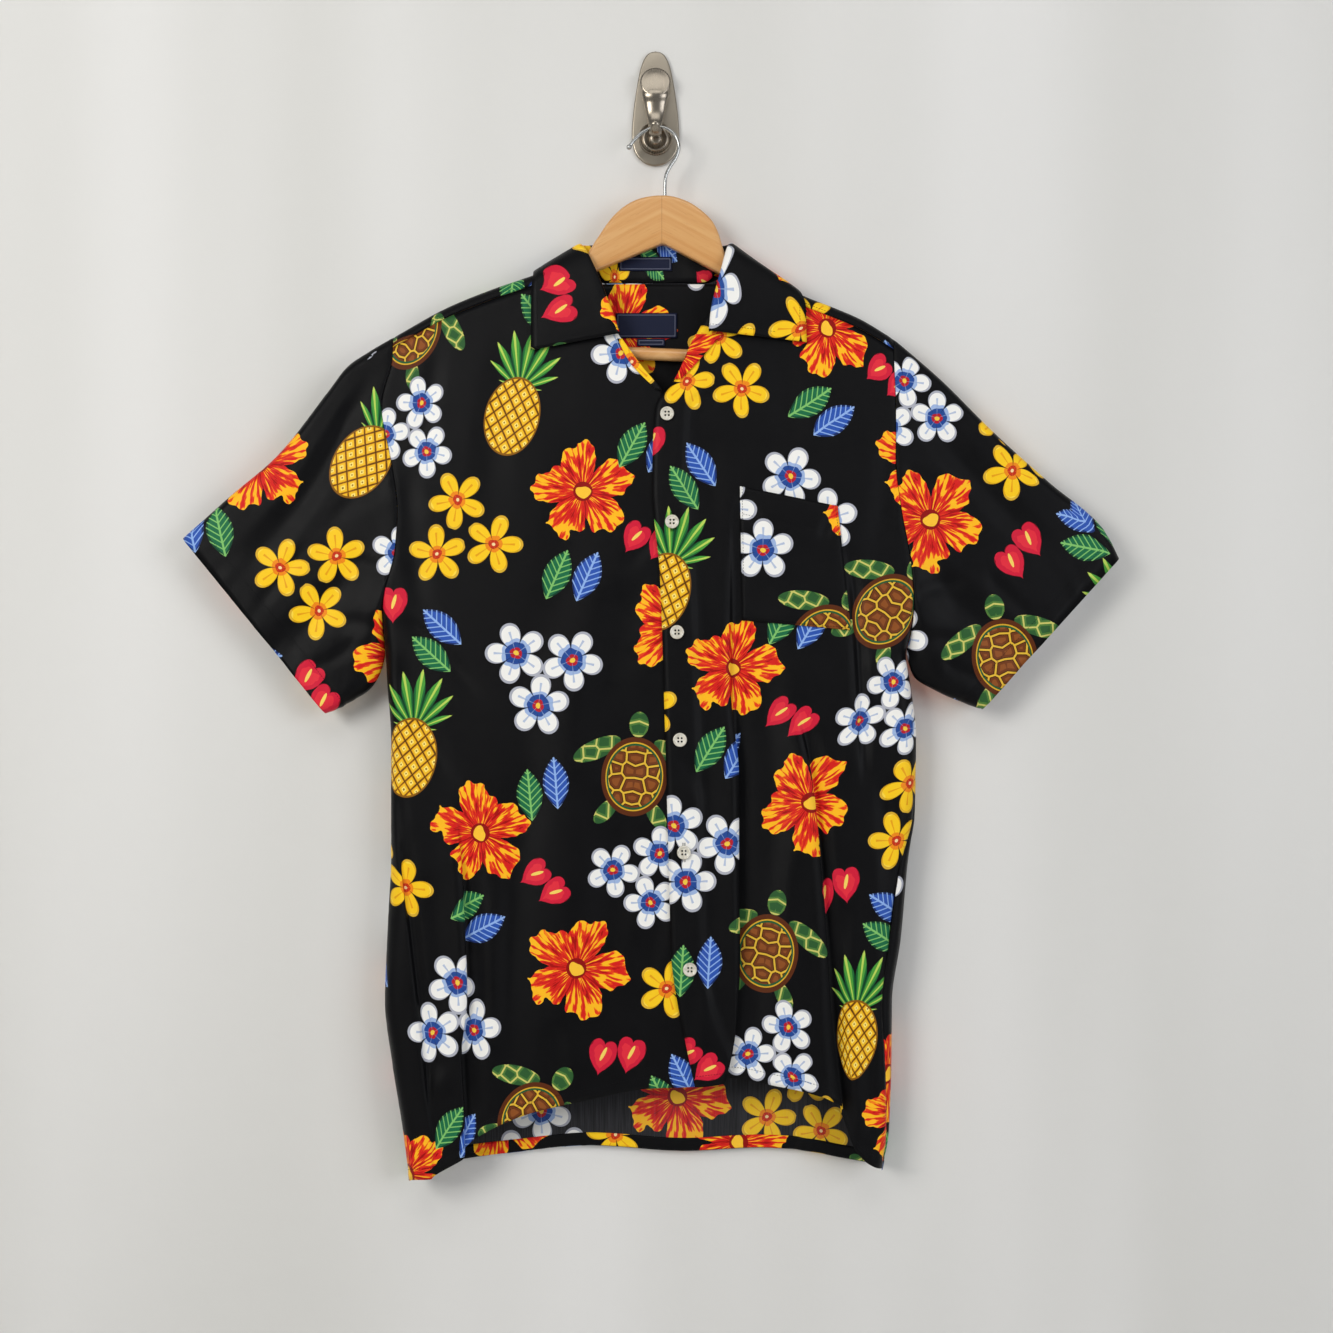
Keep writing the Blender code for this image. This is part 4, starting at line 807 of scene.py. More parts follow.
def oval_ring(row, counts):
    """A flat ring with round ends, with as many points on each stretch as the armhole has."""
    top, under = np.array([[row[end + "_x"], row[end + "_z"]] for end in ("top", "under")])
    tall = float(np.linalg.norm(top - under))
    half = row["half"]
    quarter = math.pi / 2 * half
    side_length = quarter + tall - 2 * half
    front, over, back = counts
    turn = np.arange(1, over + 1) * 2 / over
    way = np.concatenate([
        np.linspace(0, side_length, front),
        side_length + quarter * np.minimum(turn, 2 - turn),
        np.linspace(side_length, 0, back + 2)[1:-1],
    ])
    face = np.where(np.arange(len(way)) < front + over / 2, -1, 1)
    low, high = np.minimum(way / half, math.pi / 2), np.maximum(way - side_length, 0) / half
    up = half * (1 - np.cos(low) + np.sin(high)) + np.clip(way - quarter, 0, tall - 2 * half)
    place = under + (top - under) / tall * up[:, None]
    depth = row["mid_y"] + face * half * np.sin(low) * np.cos(high)
    return np.stack([place[:, 0], depth, place[:, 1]], axis=-1), up / tall


# small dents of the sleeves: where they start and end, along the arm and up from the underarm
SLEEVE_CREASE_COLUMNS = "face along_from up_from along_to up_to depth width"
SLEEVE_CREASES = {
    "right": table(
        SLEEVE_CREASE_COLUMNS,
        (-1, 0.04, 0.10, 0.62, 0.34, 2.0, 0.045), (-1, 0.02, 0.24, 0.46, 0.50, 1.7, 0.040),
        (-1, 0.03, 0.55, 0.50, 0.62, 1.2, 0.050), (-1, 0.30, 0.16, 0.90, 0.20, 1.4, 0.040),
        (-1, 0.55, 0.62, 0.97, 0.54, 1.3, 0.050), (1, 0.04, 0.12, 0.66, 0.30, 2.0, 0.045),
        (1, 0.05, 0.40, 0.60, 0.62, 1.6, 0.050), (1, 0.45, 0.66, 0.95, 0.70, 1.3, 0.050),
    ),
    "left": table(
        SLEEVE_CREASE_COLUMNS,
        (-1, 0.03, 0.08, 0.70, 0.26, 2.2, 0.045), (-1, 0.02, 0.20, 0.55, 0.44, 1.8, 0.040),
        (-1, 0.05, 0.60, 0.55, 0.70, 1.2, 0.050), (-1, 0.35, 0.10, 0.96, 0.12, 1.5, 0.035),
        (-1, 0.60, 0.50, 0.97, 0.46, 1.2, 0.055), (1, 0.04, 0.10, 0.60, 0.32, 2.0, 0.045),
        (1, 0.06, 0.46, 0.66, 0.58, 1.5, 0.050), (1, 0.50, 0.70, 0.96, 0.64, 1.3, 0.050),
    ),
}
SLEEVE_HEM = 20.0  # how deep a sleeve's hem is turned up


def sleeve_dents(wearer, along, up, face):
    """How far the small dents push the sleeve in at one ring."""
    pushed = np.zeros(len(up))
    for row in SLEEVE_CREASES[wearer]:
        share = (along - row["along_from"]) / (row["along_to"] - row["along_from"])
        line = row["up_from"] + (row["up_to"] - row["up_from"]) * np.clip(share, 0, 1)
        fade = ease(share / 0.2) * ease((1 - share) / 0.4)
        near = ease(1 - np.abs(up - line) / row["width"]) * (face == row["face"])
        pushed += row["depth"] * near * fade
    return pushed


def sleeve_points(side, rows):
    """The sleeve's outer points, one column for each point round the armhole, and the ways up."""
    outer_edge = armhole_ring(side)
    counts = (UPPER_ROWS + 1, WRAP_ROWS, len(outer_edge) - UPPER_ROWS - 1 - WRAP_ROWS)
    row_at = between_rows(rows, "along")
    to_armhole = outer_edge - oval_ring(row_at(0.0), counts)[0]
    wearer = "right" if side == "left" else "left"
    rings = []
    for along in np.linspace(0, 1, SLEEVE_RINGS + 1) ** 1.3:
        ring, up = oval_ring(row_at(along), counts)
        face = np.where(np.arange(len(up)) <= counts[0] + counts[1] / 2, -1, 1)
        ring = ring + to_armhole * (1 - float(ease(along / 0.5)))
        for fold in SLEEVE_FOLDS[wearer]:
            line = fold["at_armhole"] * (1 - along) + fold["at_hem"] * along
            dent = ease(1 - np.abs(up - line) / fold["width"]) * fold["depth"]
            ring[:, 1] += dent * ease((along - fold["start"]) / 0.3) * ease((fold["end"] - along) / 0.3)
        edges = ease(up / 0.06) * ease((1 - up) / 0.06)
        ring[:, 1] -= face * sleeve_dents(wearer, along, up, face) * edges
        rings.append(ring)
    return np.array(rings).transpose(1, 0, 2), up


def unfolded(points, up, cloth_start):
    """Flat places on the cut sleeve: its two faces opened out along the fold over the arm."""
    top = int(np.argmax(up))
    flat = points[..., [0, 2]] - points[top, 0, [0, 2]]
    fold = unit(flat[top, -1])
    across = np.abs(flat @ (-fold[1], fold[0]))
    side = np.where(np.arange(len(points)) <= top, -1, 1)[:, None]
    rounding = 12.0 * ease((across + 6) / 12)
    return on_cloth(side * (across + rounding), -(flat @ fold), cloth_start)


def sleeve_shell(name, side, rows, cloth_start, finishes):
    """One sleeve with its hem, and texture coordinates that run round and along the arm."""
    points, up = sleeve_points(side, rows)
    away = points - points.mean(axis=0, keepdims=True)
    along = run_along(points, 1)
    to_hem = along[:, -1:] - along
    closed = np.concatenate([points, points[:1]])
    around = run_along(closed)
    around = (around - around[int(np.argmax(up))])[:-1]
    seam = 0.4 * dip(along, SEAM_DIP) + 0.3 * waves(around, 15.0, 9.7, 23.0) * np.exp(-along / 9)
    hem = 0.4 * dip(to_hem - SLEEVE_HEM, 2.4) - 0.4 * ease((SLEEVE_HEM + 1.5 - to_hem) / 3)
    pushed = seam + hem + 0.35 * waves(around, 27.0, 17.0) * np.exp(-to_hem / 24)
    pushed[:, 0] = np.maximum(pushed[:, 0], 0.2)
    points = points - pushed[..., None] * outward_normals(points, away, closed=True)
    normals = outward_normals(points, away, closed=True)
    made = shell(name, points, normals, unfolded(closed, up, cloth_start), closed=True, finishes=finishes)
    return made, points, normals


print("a sleeve's armhole ring has", len(armhole_places("left")), "points")
# %% [markdown]
# ## The collar
#
# A camp collar is one flat piece that lies open. Each station of the table gives the neckline seam, the
# roll where the collar turns over, and the outer edge of its leaf. The stations are joined smoothly
# round the neck, and each section becomes a fine curve through its nine control points.

# %% Stations of the collar
COLLAR = table(
    "at seam_x seam_y seam_z roll_x roll_y roll_z edge_x edge_y edge_z out_x out_y out_z",
    (0.0, -42, -38.0, -208, -33, -38.6, -217, -113.5, -40.2, -232, 0, -1, 0),
    (0.5, -46, -37.0, -198, -39, -38.4, -200, -113.4, -39.8, -214, 0, -1, 0),
    (1.0, -50, -36.0, -189, -46, -38.0, -181, -113.2, -39.4, -193, -0.1, -1, 0.1),
    (1.7, -59, -35.2, -172, -53.5, -36.5, -161, -112.6, -38.4, -170, -0.3, -1, 0.4),
    (2.5, -66, -31.8, -146.5, -62.5, -31, -140.5, -111.6, -33.5, -161.5, -0.8, -0.5, 0.7),
    (3.1, -67, -24, -137.8, -66.5, -23.5, -134.5, -111.5, -22.5, -156.6, -0.9, -0.1, 0.6),
    (3.6, -66, -16.6, -141, -66.0, -16, -133.5, -111, -13.5, -160.5, -0.7, 0.7, 0.5),
    (4.1, -60.6, -15.6, -149, -61.0, -14.0, -132.5, -108, -10.2, -168.0, -0.3, 1, 0.2),
    (4.8, -45, -15.05, -165.2, -47, -14.4, -131, -84, -9.8, -178, 0, 1, 0),
    (6.0, 0, -15.05, -165.9, 0, -14.4, -128, 0, -9.8, -184, 0, 1, 0),
    (7.2, 45, -15.05, -165.2, 47, -14.4, -131, 86, -9.8, -182, 0, 1, 0),
    (7.9, 60.6, -15.6, -149, 60.6, -14.0, -132.5, 114, -10.0, -182, 0.3, 1, 0.2),
    (8.4, 66, -16.6, -141, 65.5, -16, -133, 120, -13.0, -173, 0.7, 0.7, 0.5),
    (8.9, 67, -24, -137.8, 66.4, -23.5, -133.8, 126, -22.0, -171.2, 0.9, -0.1, 0.6),
    (9.5, 66, -31.8, -146.5, 64.6, -31, -138.5, 133, -34.0, -178.5, 0.8, -0.5, 0.7),
    (10.3, 60.5, -35.2, -172, 59.5, -36.5, -161, 137, -38.0, -190, 0.3, -1, 0.4),
    (11.0, 56, -36.0, -186, 54.5, -38.0, -181, 137.5, -39.2, -202, 0.1, -1, 0.1),
    (11.5, 58, -37.0, -195, 51.5, -38.4, -198, 137.6, -39.6, -213, 0, -1, 0),
    (12.0, 59, -38.0, -206, 49.5, -38.6, -214.5, 137.8, -40.0, -224.5, 0, -1, 0),
)
COLLAR_ROLL = 2.3  # radius of the fold at the collar's roll
ROLL_REACH = 2.2  # how near the roll the cloth on both sides of it lies straight
COLLAR_THICK = 1.1  # two layers of cloth and an interlining
COLLAR_STITCH = 6.0  # how far in from its edge the collar is stitched
COLLAR_STATIONS = 132
COLLAR_LINES = ("seam", "roll", "edge", "out")
print(len(COLLAR), "stations round the neck")

# %% Sections of the collar
def collar_section(row):
    """One section of the collar from the neckline over the roll to the leaf's edge."""
    seam, roll, edge, out = (np.array([row[f"{name}_{axis}"] for axis in "xyz"]) for name in COLLAR_LINES)
    out = unit(out) * 2 * COLLAR_ROLL
    rise = max(float(np.linalg.norm(seam - roll)), 0.1)
    foot = roll + (seam - roll) * min(1.0, ROLL_REACH / rise)
    leaf = roll + out + unit(edge - roll - out) * ROLL_REACH
    tip = roll + out / 2 + (roll - seam) / rise * 0.9
    across_leaf = [leaf + (edge - leaf) * share for share in (0.18, 0.45, 0.75, 1.0)]
    return [seam, (seam + foot) / 2, foot, tip, leaf] + across_leaf


def through(points, pieces):
    """A smooth curve through control points, with a number of steps between each pair."""
    points = np.array(points, float)
    ends = np.concatenate([2 * points[:1] - points[1:2], points, 2 * points[-1:] - points[-2:-1]])
    found = []
    for k in range(len(points) - 1):
        a, b, c, d = ends[k : k + 4]
        for t in np.arange(pieces) / pieces:
            bend = 2 * a - 5 * b + 4 * c - d
            found.append(0.5 * (2 * b + (c - a) * t + bend * t**2 + (3 * b - a - 3 * c + d) * t**3))
    return np.array(found + [points[-1]])


def collar_grid():
    row_at = between_rows(COLLAR, "at")
    places = np.linspace(0, COLLAR[-1]["at"], COLLAR_STATIONS + 1)
    return np.array([through(collar_section(row_at(place)), 3) for place in places])


def collar_shell(finishes):
    """The collar, its printed top side outermost on the leaf."""
    middle = collar_grid()
    normals = grid_normals(middle)
    if float(normals[6, -1, 1]) > 0:
        normals = -normals
    down, along = run_along(middle, 1), run_along(middle[:, -1])[:, None]
    to_edge = down[:, -1:] - down
    near = np.minimum(to_edge, np.minimum(along, along[-1] - along))
    swell = 0.5 * waves(along + 0.4 * down, 61.0, 37.0, 94.0) * ease(near / 14) * ease(to_edge / 20)
    pushed = 0.22 * dip(near - COLLAR_STITCH, 1.6) + 0.3 * np.exp(-near / 1.5) + swell
    outer = middle + (COLLAR_THICK / 2 - pushed)[..., None] * normals
    cloth_uv = on_cloth(along, -down, (611, 330))
    return shell("collar_leaf", outer, normals, cloth_uv, thick=COLLAR_THICK, finishes=finishes), outer, normals


leaf_point = float(np.linalg.norm(np.subtract(*collar_grid()[0, [-1, 6]])))
print("the collar's leaf is", round(leaf_point), "mm long at its point")

# %% [markdown]
# ## Lapels, pocket and the inner yoke
#
# Below the collar the fronts turn back as short lapels. They lie on the front with a rolled edge, so
# their first columns go round a small half circle. The pocket lies on the wearer's left front, stands
# off it a little at the mouth, and its edges are turned under and stitched. The yoke has an inner layer,
# whose printed side shows through the neck.

# %% Lapel, pocket and lining shapes
LAPELS = table(
    "name panel thick stands z_top z_bottom width_top width_mid width_bottom start_x",
    ("lapel_right", "right_front", 1.0, 0.35, -221, -268, 4, 8, 5, 255),
    ("lapel_left", "left_front", 1.0, 0.8, -217, -258, 24, 15, 5, 320),
)

POCKET = table(
    "corner x z",
    ("top_inner", 77, -356), ("top_outer", 166, -374), ("bottom_inner", 79, -478),
    ("bottom_outer", 178, -487),
)

POCKET_WIDE, POCKET_TALL, POCKET_FACING = 92.0, 118.0, 25.0
POCKET_THICK = 1.2
POCKET_STANDS = 0.5  # how far the pocket's back stands off the uneven front

LINING_THICK = 1.0
LINING_SPAN = (-205, 188)


def lapel_grid(row):
    """Points of the turned edge: round its roll first, then across the front."""
    panel = row["panel"]
    inwards = -1 if panel == "right_front" else 1
    steps = table("t width", (0, row["width_top"]), (0.5, row["width_mid"]), (1, row["width_bottom"]))
    widths = smooth(steps, "t", "width")
    share = np.linspace(0, 1, 26)[:, None]
    step = np.linspace(0, 1, 9)[None, :]
    z = row["z_top"] + (row["z_bottom"] - row["z_top"]) * share
    s = front_edge[panel](z) + inwards * step * widths(share)
    flat = body_point(panel, s, z + 0 * step)
    lift = row["stands"] + row["thick"] - 0.25 * ease(step * 1.2)
    flat[..., 1] -= lift + 0.2 * waves(z, 21.0, 13.0) * step
    edge = body_point(panel, s[:, :1], z)
    half = (row["stands"] + row["thick"]) / 2
    turns = np.linspace(0.5, 0.08, 5)[None, :] * np.pi
    roll_x = edge[..., 0] - inwards * half * 0.9 * np.sin(turns)
    roll_y = edge[..., 1] - half - half * np.cos(turns)
    rolled = np.stack([roll_x, roll_y, edge[..., 2] + 0 * turns], axis=-1)
    return np.concatenate([rolled, flat], axis=1)


def on_front(x, z, out):
    """Points in front of the left front's cloth."""
    points = body_point("left_front", x, z)
    points[..., 1] -= out
    return points


def pocket_grid():
    corner = {row["corner"]: np.array([row["x"], row["z"]], float) for row in POCKET}
    across = np.linspace(0, 1, 31)[:, None, None]
    down = np.linspace(0, 1, 37)[None, :, None]
    top = (1 - across) * corner["top_inner"] + across * corner["top_outer"]
    bottom = (1 - across) * corner["bottom_inner"] + across * corner["bottom_outer"]
    place = (1 - down) * top + down * bottom
    s, z = place[..., 0], place[..., 1]
    side = np.minimum(across, 1 - across)[..., 0] * POCKET_WIDE
    from_mouth = down[..., 0] * POCKET_TALL
    edge = np.minimum(side, POCKET_TALL - from_mouth)
    out = POCKET_THICK + LAYER + POCKET_STANDS - crease_relief("left_front", s, z)
    out = out - 0.35 * np.exp(-edge / 1.2) - 0.25 * dip(edge - 2.2, 1.2)
    out = out + 0.9 * ease(side / 40) * ease(1 - from_mouth / 34)
    out = out - 0.3 * dip(from_mouth - POCKET_FACING, 1.6) * ease(side / 3)
    return on_front(s, z, out), on_cloth(s, z, (233, 94))


def lining_grid():
    """The yoke's inner layer: the yoke's points, moved in by its wall and a gap."""
    s = np.linspace(*LINING_SPAN, 80)[:, None]
    share = np.linspace(0, 1, 26)[None, :]
    high = np.minimum(ridge_z(s) - RIDGE_ROUND - 6, BACK_NECK_Z - 1)
    low = YOKE_Z + 4
    z = low + (high - low) * share
    points = body_point("yoke", s + 0 * share, z)
    points[..., 1] -= CLOTH + LAYER + 0.25 + 0.25 * waves(s + 0.3 * z, 41.0, 67.0)
    return points, on_cloth(s, z, (148, 37))


print("the pocket's mouth is", round(math.hypot(166 - 77, 18)), "mm wide")
# %% [markdown]
# ## Colours and one node helper
#
# Materials are built from nodes. One function, `add`, makes any node, with its settings and inputs, and
# gives one of its outputs as a `Field`. Fields know ordinary arithmetic, so a shape can be written as a
# formula, and `into` feeds a field on into another node. Colours are the hex codes of a swatch.

# %% Colour and node helpers
def hex_colour(code):
    """A hex colour, as seen on a screen, in the linear light that Blender works in."""
    parts = [int(code[k : k + 2], 16) / 255 for k in (1, 3, 5)]
    return (*[p / 12.92 if p <= 0.04045 else ((p + 0.055) / 1.055) ** 2.4 for p in parts], 1.0)


def fill(socket, value):
    """Fill an input with a value, a colour code, or a link from a field."""
    if isinstance(value, Field):
        socket.id_data.links.new(value.node.outputs[value.out], socket)
    else:
        socket.default_value = hex_colour(value) if isinstance(value, str) else value


def add(tree, kind, inputs=None, out=0, stops=(), blend="CONSTANT", **settings):
    """A node with its settings, its (position, colour) stops and its inputs, as a field of one output."""
    made = tree.nodes.new(kind if "Node" in kind else "ShaderNode" + kind)
    for key, value in settings.items():
        setattr(made, key, value)
    for k, (place, code) in enumerate(stops):
        made.color_ramp.interpolation = blend
        stop = made.color_ramp.elements[k] if k < 2 else made.color_ramp.elements.new(place)
        stop.position, stop.color = place, hex_colour(code)
    for key, value in (inputs or {}).items():
        fill(made.inputs[key], value)
    return Field(made, out)


class Field:
    """One output of a node, with ordinary arithmetic."""

    def __init__(self, node, out=0):
        self.node, self.out = node, out

    def into(self, kind, inputs=None, out=0, at=0, **settings):
        """Feed this field into a new node."""
        return add(self.node.id_data, kind, {at: self, **(inputs or {})}, out, **settings)

    def outputs(self, count):
        return [Field(self.node, k) for k in range(count)]


FIELD_MATHS = {
    "__add__": "ADD", "__sub__": "SUBTRACT", "__mul__": "MULTIPLY", "__truediv__": "DIVIDE", "__pow__": "POWER",
    "below": "LESS_THAN", "above": "GREATER_THAN", "larger": "MAXIMUM", "smaller": "MINIMUM",
    "size": "ABSOLUTE", "angle_from": "ARCTAN2", "sine": "SINE", "cosine": "COSINE", "fraction": "FRACT",
    "rounded": "ROUND", "root": "SQRT",
}
for name, operation in FIELD_MATHS.items():
    setattr(Field, name, lambda self, *others, operation=operation: self.into(
        "Math", dict(enumerate(others, 1)), operation=operation
    ))
FLAT = {"noise_dimensions": "2D"}
LENGTH = {"out": "Value", "operation": "LENGTH"}
MINUS = {"operation": "SUBTRACT"}
LAID_ON = {"out": 2, "data_type": "RGBA"}  # a Mix of the colours 6, below, and 7, above it


def node_group(name, kind, inputs, outputs, draw):
    """A node group from "Name:Type" words for its sockets and a function from inputs to outputs."""
    tree = bpy.data.node_groups.new(name, kind + "NodeTree")
    for in_out, words in (("INPUT", inputs), ("OUTPUT", outputs)):
        for word in words.split():
            label, socket = word.split(":")
            tree.interface.new_socket(label, in_out=in_out, socket_type="NodeSocket" + socket)
    given = add(tree, "NodeGroupInput").outputs(len(inputs.split()))
    add(tree, "NodeGroupOutput", dict(enumerate(draw(*given))))
    print(f"{name}: {len(tree.nodes)} nodes")
    return tree


print("black of the cloth in linear light:", [round(v, 4) for v in hex_colour("#0e0e10")[:3]])

# %% [markdown]
# ## The motifs of the print
#
# This is a general tropical print in bright colours on black: hibiscus, small yellow flowers, white and
# blue orchids, pineapples, turtles, red hearts of anthurium and pairs of leaves. A picture of the cloth
# would blur close up, so every motif is drawn by nodes instead. Each is a node group. It gets
# `Place`, where its own size is a circle of radius 1, and gives its colour and whether a spot lies
# inside it. Petals come from polar coordinates: the angle says which petal, and the radius is compared
# with that petal's outline.

# %% Motif maker and hibiscus
def motif(draw, name=None):
    """A node group that a drawing function fills, and that takes its name."""
    return node_group(name or draw.__name__, "Shader", "Place:Vector", "Colour:Color Inside:Float", draw)


def petals(angle, count, turn=0.0):
    """How far a spot is from the nearest petal's middle line: -1 and 1 are the gaps between petals."""
    return ((angle * (count / (2 * math.pi)) + turn).fraction() - 0.5) * 2.0


@motif
def hibiscus(place):
    x, y = place.into("SeparateXYZ").outputs(2)
    angle, radius = y.angle_from(x), place.into("VectorMath", **LENGTH)
    across = petals(angle, 5).size()
    ruffle = place.into("TexNoise", {"Scale": 3.1, "Detail": 1.0}, **FLAT) - 0.5
    reach = (across**3.2) * -0.42 + (ruffle * 0.5 + 0.94)
    polar = (angle * 4.2).into("CombineXYZ", {1: radius * 1.3})
    streak = polar.into("TexNoise", {"Scale": 2.3, "Detail": 1.6}, **FLAT)
    heat = streak + (radius / reach) ** 3.0 * 0.2 - (across**6.0) * 0.24
    reds = ((0.0, "#a3120f"), (0.36, "#d4211c"), (0.53, "#e4401b"), (0.60, "#f4821c"), (0.635, "#fdbb22"))
    heart = (radius + ruffle * 0.2).into("ValToRGB", stops=((0.0, "#fbc437"), (0.13, "#8e120f")))
    flame = heat.into("ValToRGB", stops=reds)
    return radius.below(0.19).into("Mix", {6: flame, 7: heart}, **LAID_ON), radius.below(reach)


# %% [markdown]
# The small flowers grow in threes. Folding the plane into three equal sectors draws all three flowers
# with the nodes of one. The same group idea serves the yellow flowers and the white orchids.

# %% Flowers in threes
FLOWERS = table(
    "name size sharp turn vein edge petals",
    ("yellow_flowers", 0.47, 0.55, 0.25, "#e08a16", "#b9780f",
     ((0.0, "#f6d9a0"), (0.13, "#c5301c"), (0.25, "#ee8a1e"), (0.37, "#f8c922"), (0.95, "#fbd84a"))),
    ("white_orchids", 0.50, 0.34, 0.0, "#8fa6cf", "#3a4c80",
     ((0.0, "#f4c93c"), (0.16, "#b5202c"), (0.27, "#274a92"), (0.44, "#9db4dc"), (0.55, "#efeeea"))),
)


def draw_trio(row, place):
    x, y = place.into("SeparateXYZ").outputs(2)
    third = 2 * math.pi / 3
    angle, radius = y.angle_from(x), place.into("VectorMath", **LENGTH)
    turned = angle - (angle / third).rounded() * third
    near_x, near_y = radius * turned.cosine() - 0.52, radius * turned.sine()
    away = near_x.into("CombineXYZ", {1: near_y})
    across = petals(near_y.angle_from(near_x), 5, row["turn"])
    out = away.into("VectorMath", **LENGTH) / row["size"]
    reach = (across * (math.pi / 2)).cosine() ** row["sharp"]
    cloud = away.into("TexNoise", {"Scale": 6.0, "Detail": 1.0}, **FLAT)
    colour = (out + cloud * 0.16).into("ValToRGB", stops=row["petals"])
    line = (across.size() - out * 0.05).below(0.05) * out.below(0.72)
    colour = (line * 0.7).into("Mix", {6: colour, 7: row["vein"]}, **LAID_ON)
    edge = out.above(reach - 0.085)
    return (edge * 0.55).into("Mix", {6: colour, 7: row["edge"]}, **LAID_ON), out.below(reach)


for row in FLOWERS:
    motif(lambda place, row=row: draw_trio(row, place), row["name"])

# %% [markdown]
# The pineapple is an ellipse with a lattice of diamonds and a fan of leaves. The turtle is mirrored, so
# one flipper of nodes makes two. Ellipses are spots whose scaled distance is below 1.

# %% Pineapple, turtle, anthurium and leaves
def ellipse(x, y, centre, halves, lean=0.0):
    """Below 1 inside an ellipse that leans by an angle."""
    c, s = math.cos(lean), math.sin(lean)
    px, py = x - centre[0], y - centre[1]
    along = (px * (c / halves[0]) + py * (s / halves[0])) ** 2.0
    return along + (py * (c / halves[1]) - px * (s / halves[1])) ** 2.0


@motif
def pineapple(place):
    x, y = place.into("SeparateXYZ").outputs(2)
    body = ellipse(x, y, (0, -0.36), (0.42, 0.6))
    one, two = (((way * 0.8 + x) * 5.2).fraction() - 0.5 for way in (y, y * -1.0))
    cloud = place.into("TexNoise", {"Scale": 3.0, "Detail": 1.0}, **FLAT)
    golds = ((0.0, "#8a5a12"), (0.12, "#fbe27a"), (0.24, "#f3c02a"), (0.42, "#d48f1b"), (0.485, "#5c3d0c"))
    skin = (one.size().larger(two.size()) + cloud * 0.1).into("ValToRGB", stops=golds)
    skin = body.above(0.9).into("Mix", {6: skin, 7: "#8a5a12"}, **LAID_ON)
    top = y - 0.06
    angle = top.angle_from(x)
    leaf = ((angle * (9 / math.pi)).fraction() - 0.5).size()
    reach = (angle.sine().larger(0.0) ** 0.55) * 0.92 - leaf * 0.75
    greens = ((0.0, "#b9d35c"), (0.07, "#4c9a3c"), (0.27, "#1f6b34"), (0.4, "#0f3f22"))
    out = x.into("CombineXYZ", {1: top}).into("VectorMath", **LENGTH)
    crown, inside_body = out.below(reach) * top.above(0.0), body.below(1.0)
    colours = {6: leaf.into("ValToRGB", stops=greens), 7: skin}
    return inside_body.into("Mix", colours, **LAID_ON), inside_body.larger(crown)


@motif
def turtle(place):
    x, y = place.into("SeparateXYZ").outputs(2)
    wide = x.size()
    shell_part = ellipse(wide, y, (0, -0.04), (0.52, 0.62))
    limbs = ellipse(wide, y, (0, 0.78), (0.15, 0.2)).below(1.0)
    for limb in (((0.62, 0.34), (0.40, 0.15), -0.5), ((0.40, -0.62), (0.24, 0.12), -0.9)):
        limbs = limbs.larger(ellipse(wide, y, *limb).below(1.0))
    cells = {"voronoi_dimensions": "2D", "feature": "DISTANCE_TO_EDGE"}
    both = wide.into("CombineXYZ", {1: y})
    plate = both.into("TexVoronoi", {"Scale": 4.6, "Randomness": 0.45}, "Distance", **cells)
    browns = ((0.0, "#e0b43a"), (0.07, "#3d1f0e"), (0.13, "#6f3a1b"), (0.30, "#8c4f24"))
    rims = ((0.0, "#1d5a38"), (0.62, "#1d5a38"), (0.70, "#d9a92c"), (0.76, "#5a2c14"))
    scutes, rim = plate.into("ValToRGB", stops=browns), shell_part.into("ValToRGB", stops=rims)
    shell_colour = shell_part.above(0.62).into("Mix", {6: scutes, 7: rim}, **LAID_ON)
    spots = plate.into("ValToRGB", stops=((0.0, "#c9c66a"), (0.06, "#4f7a3a"), (0.2, "#2f5a30")))
    inside_shell = shell_part.below(1.0)
    return inside_shell.into("Mix", {6: spots, 7: shell_colour}, **LAID_ON), inside_shell.larger(limbs)


@motif
def anthurium(place):
    x, y = place.into("SeparateXYZ").outputs(2)
    side = x.above(0.0) * 2.0 - 1.0
    wide, tall = x - side * 0.46, y - side * 0.14
    heart = (wide * 1.9) ** 2.0 + (tall * 1.75 - (wide * 2.4).size().root() * 0.55 + 0.25) ** 2.0
    spadix = ellipse(wide, tall, (0.02, 0.08), (0.06, 0.25), -0.25)
    cloud = place.into("TexNoise", {"Scale": 4.0, "Detail": 1.0}, **FLAT)
    reds = ((0.0, "#e0303f"), (0.5, "#cf1f3a"), (0.95, "#8f1024"))
    red = (heart + cloud * 0.3).into("ValToRGB", stops=reds)
    return spadix.below(1.0).into("Mix", {6: red, 7: "#f4d264"}, **LAID_ON), heart.below(0.86)


@motif
def leaf_pair(place):
    x, y = place.into("SeparateXYZ").outputs(2)
    side = x.above(0.0)
    wide = (x.size() - 0.42).size()
    tall = y - side * 0.3 + 0.15
    width = ((tall * tall) * -1.6 + 1.0).larger(0.0) * 0.4
    line = ((tall - wide * 0.9) * 5.0).fraction().below(0.22).larger(wide.below(0.03))
    rim = wide.above(width - 0.06)
    leaves = []
    for flesh, edge, veins in (("#1f6b45", "#123f2b", "#7fbf6a"), ("#2f55ad", "#1b2f66", "#8fb0e6")):
        blade = rim.into("Mix", {6: flesh, 7: edge}, **LAID_ON)
        leaves.append(line.into("Mix", {6: blade, 7: veins}, **LAID_ON))
    return side.into("Mix", dict(zip((6, 7), leaves)), **LAID_ON), wide.below(width)


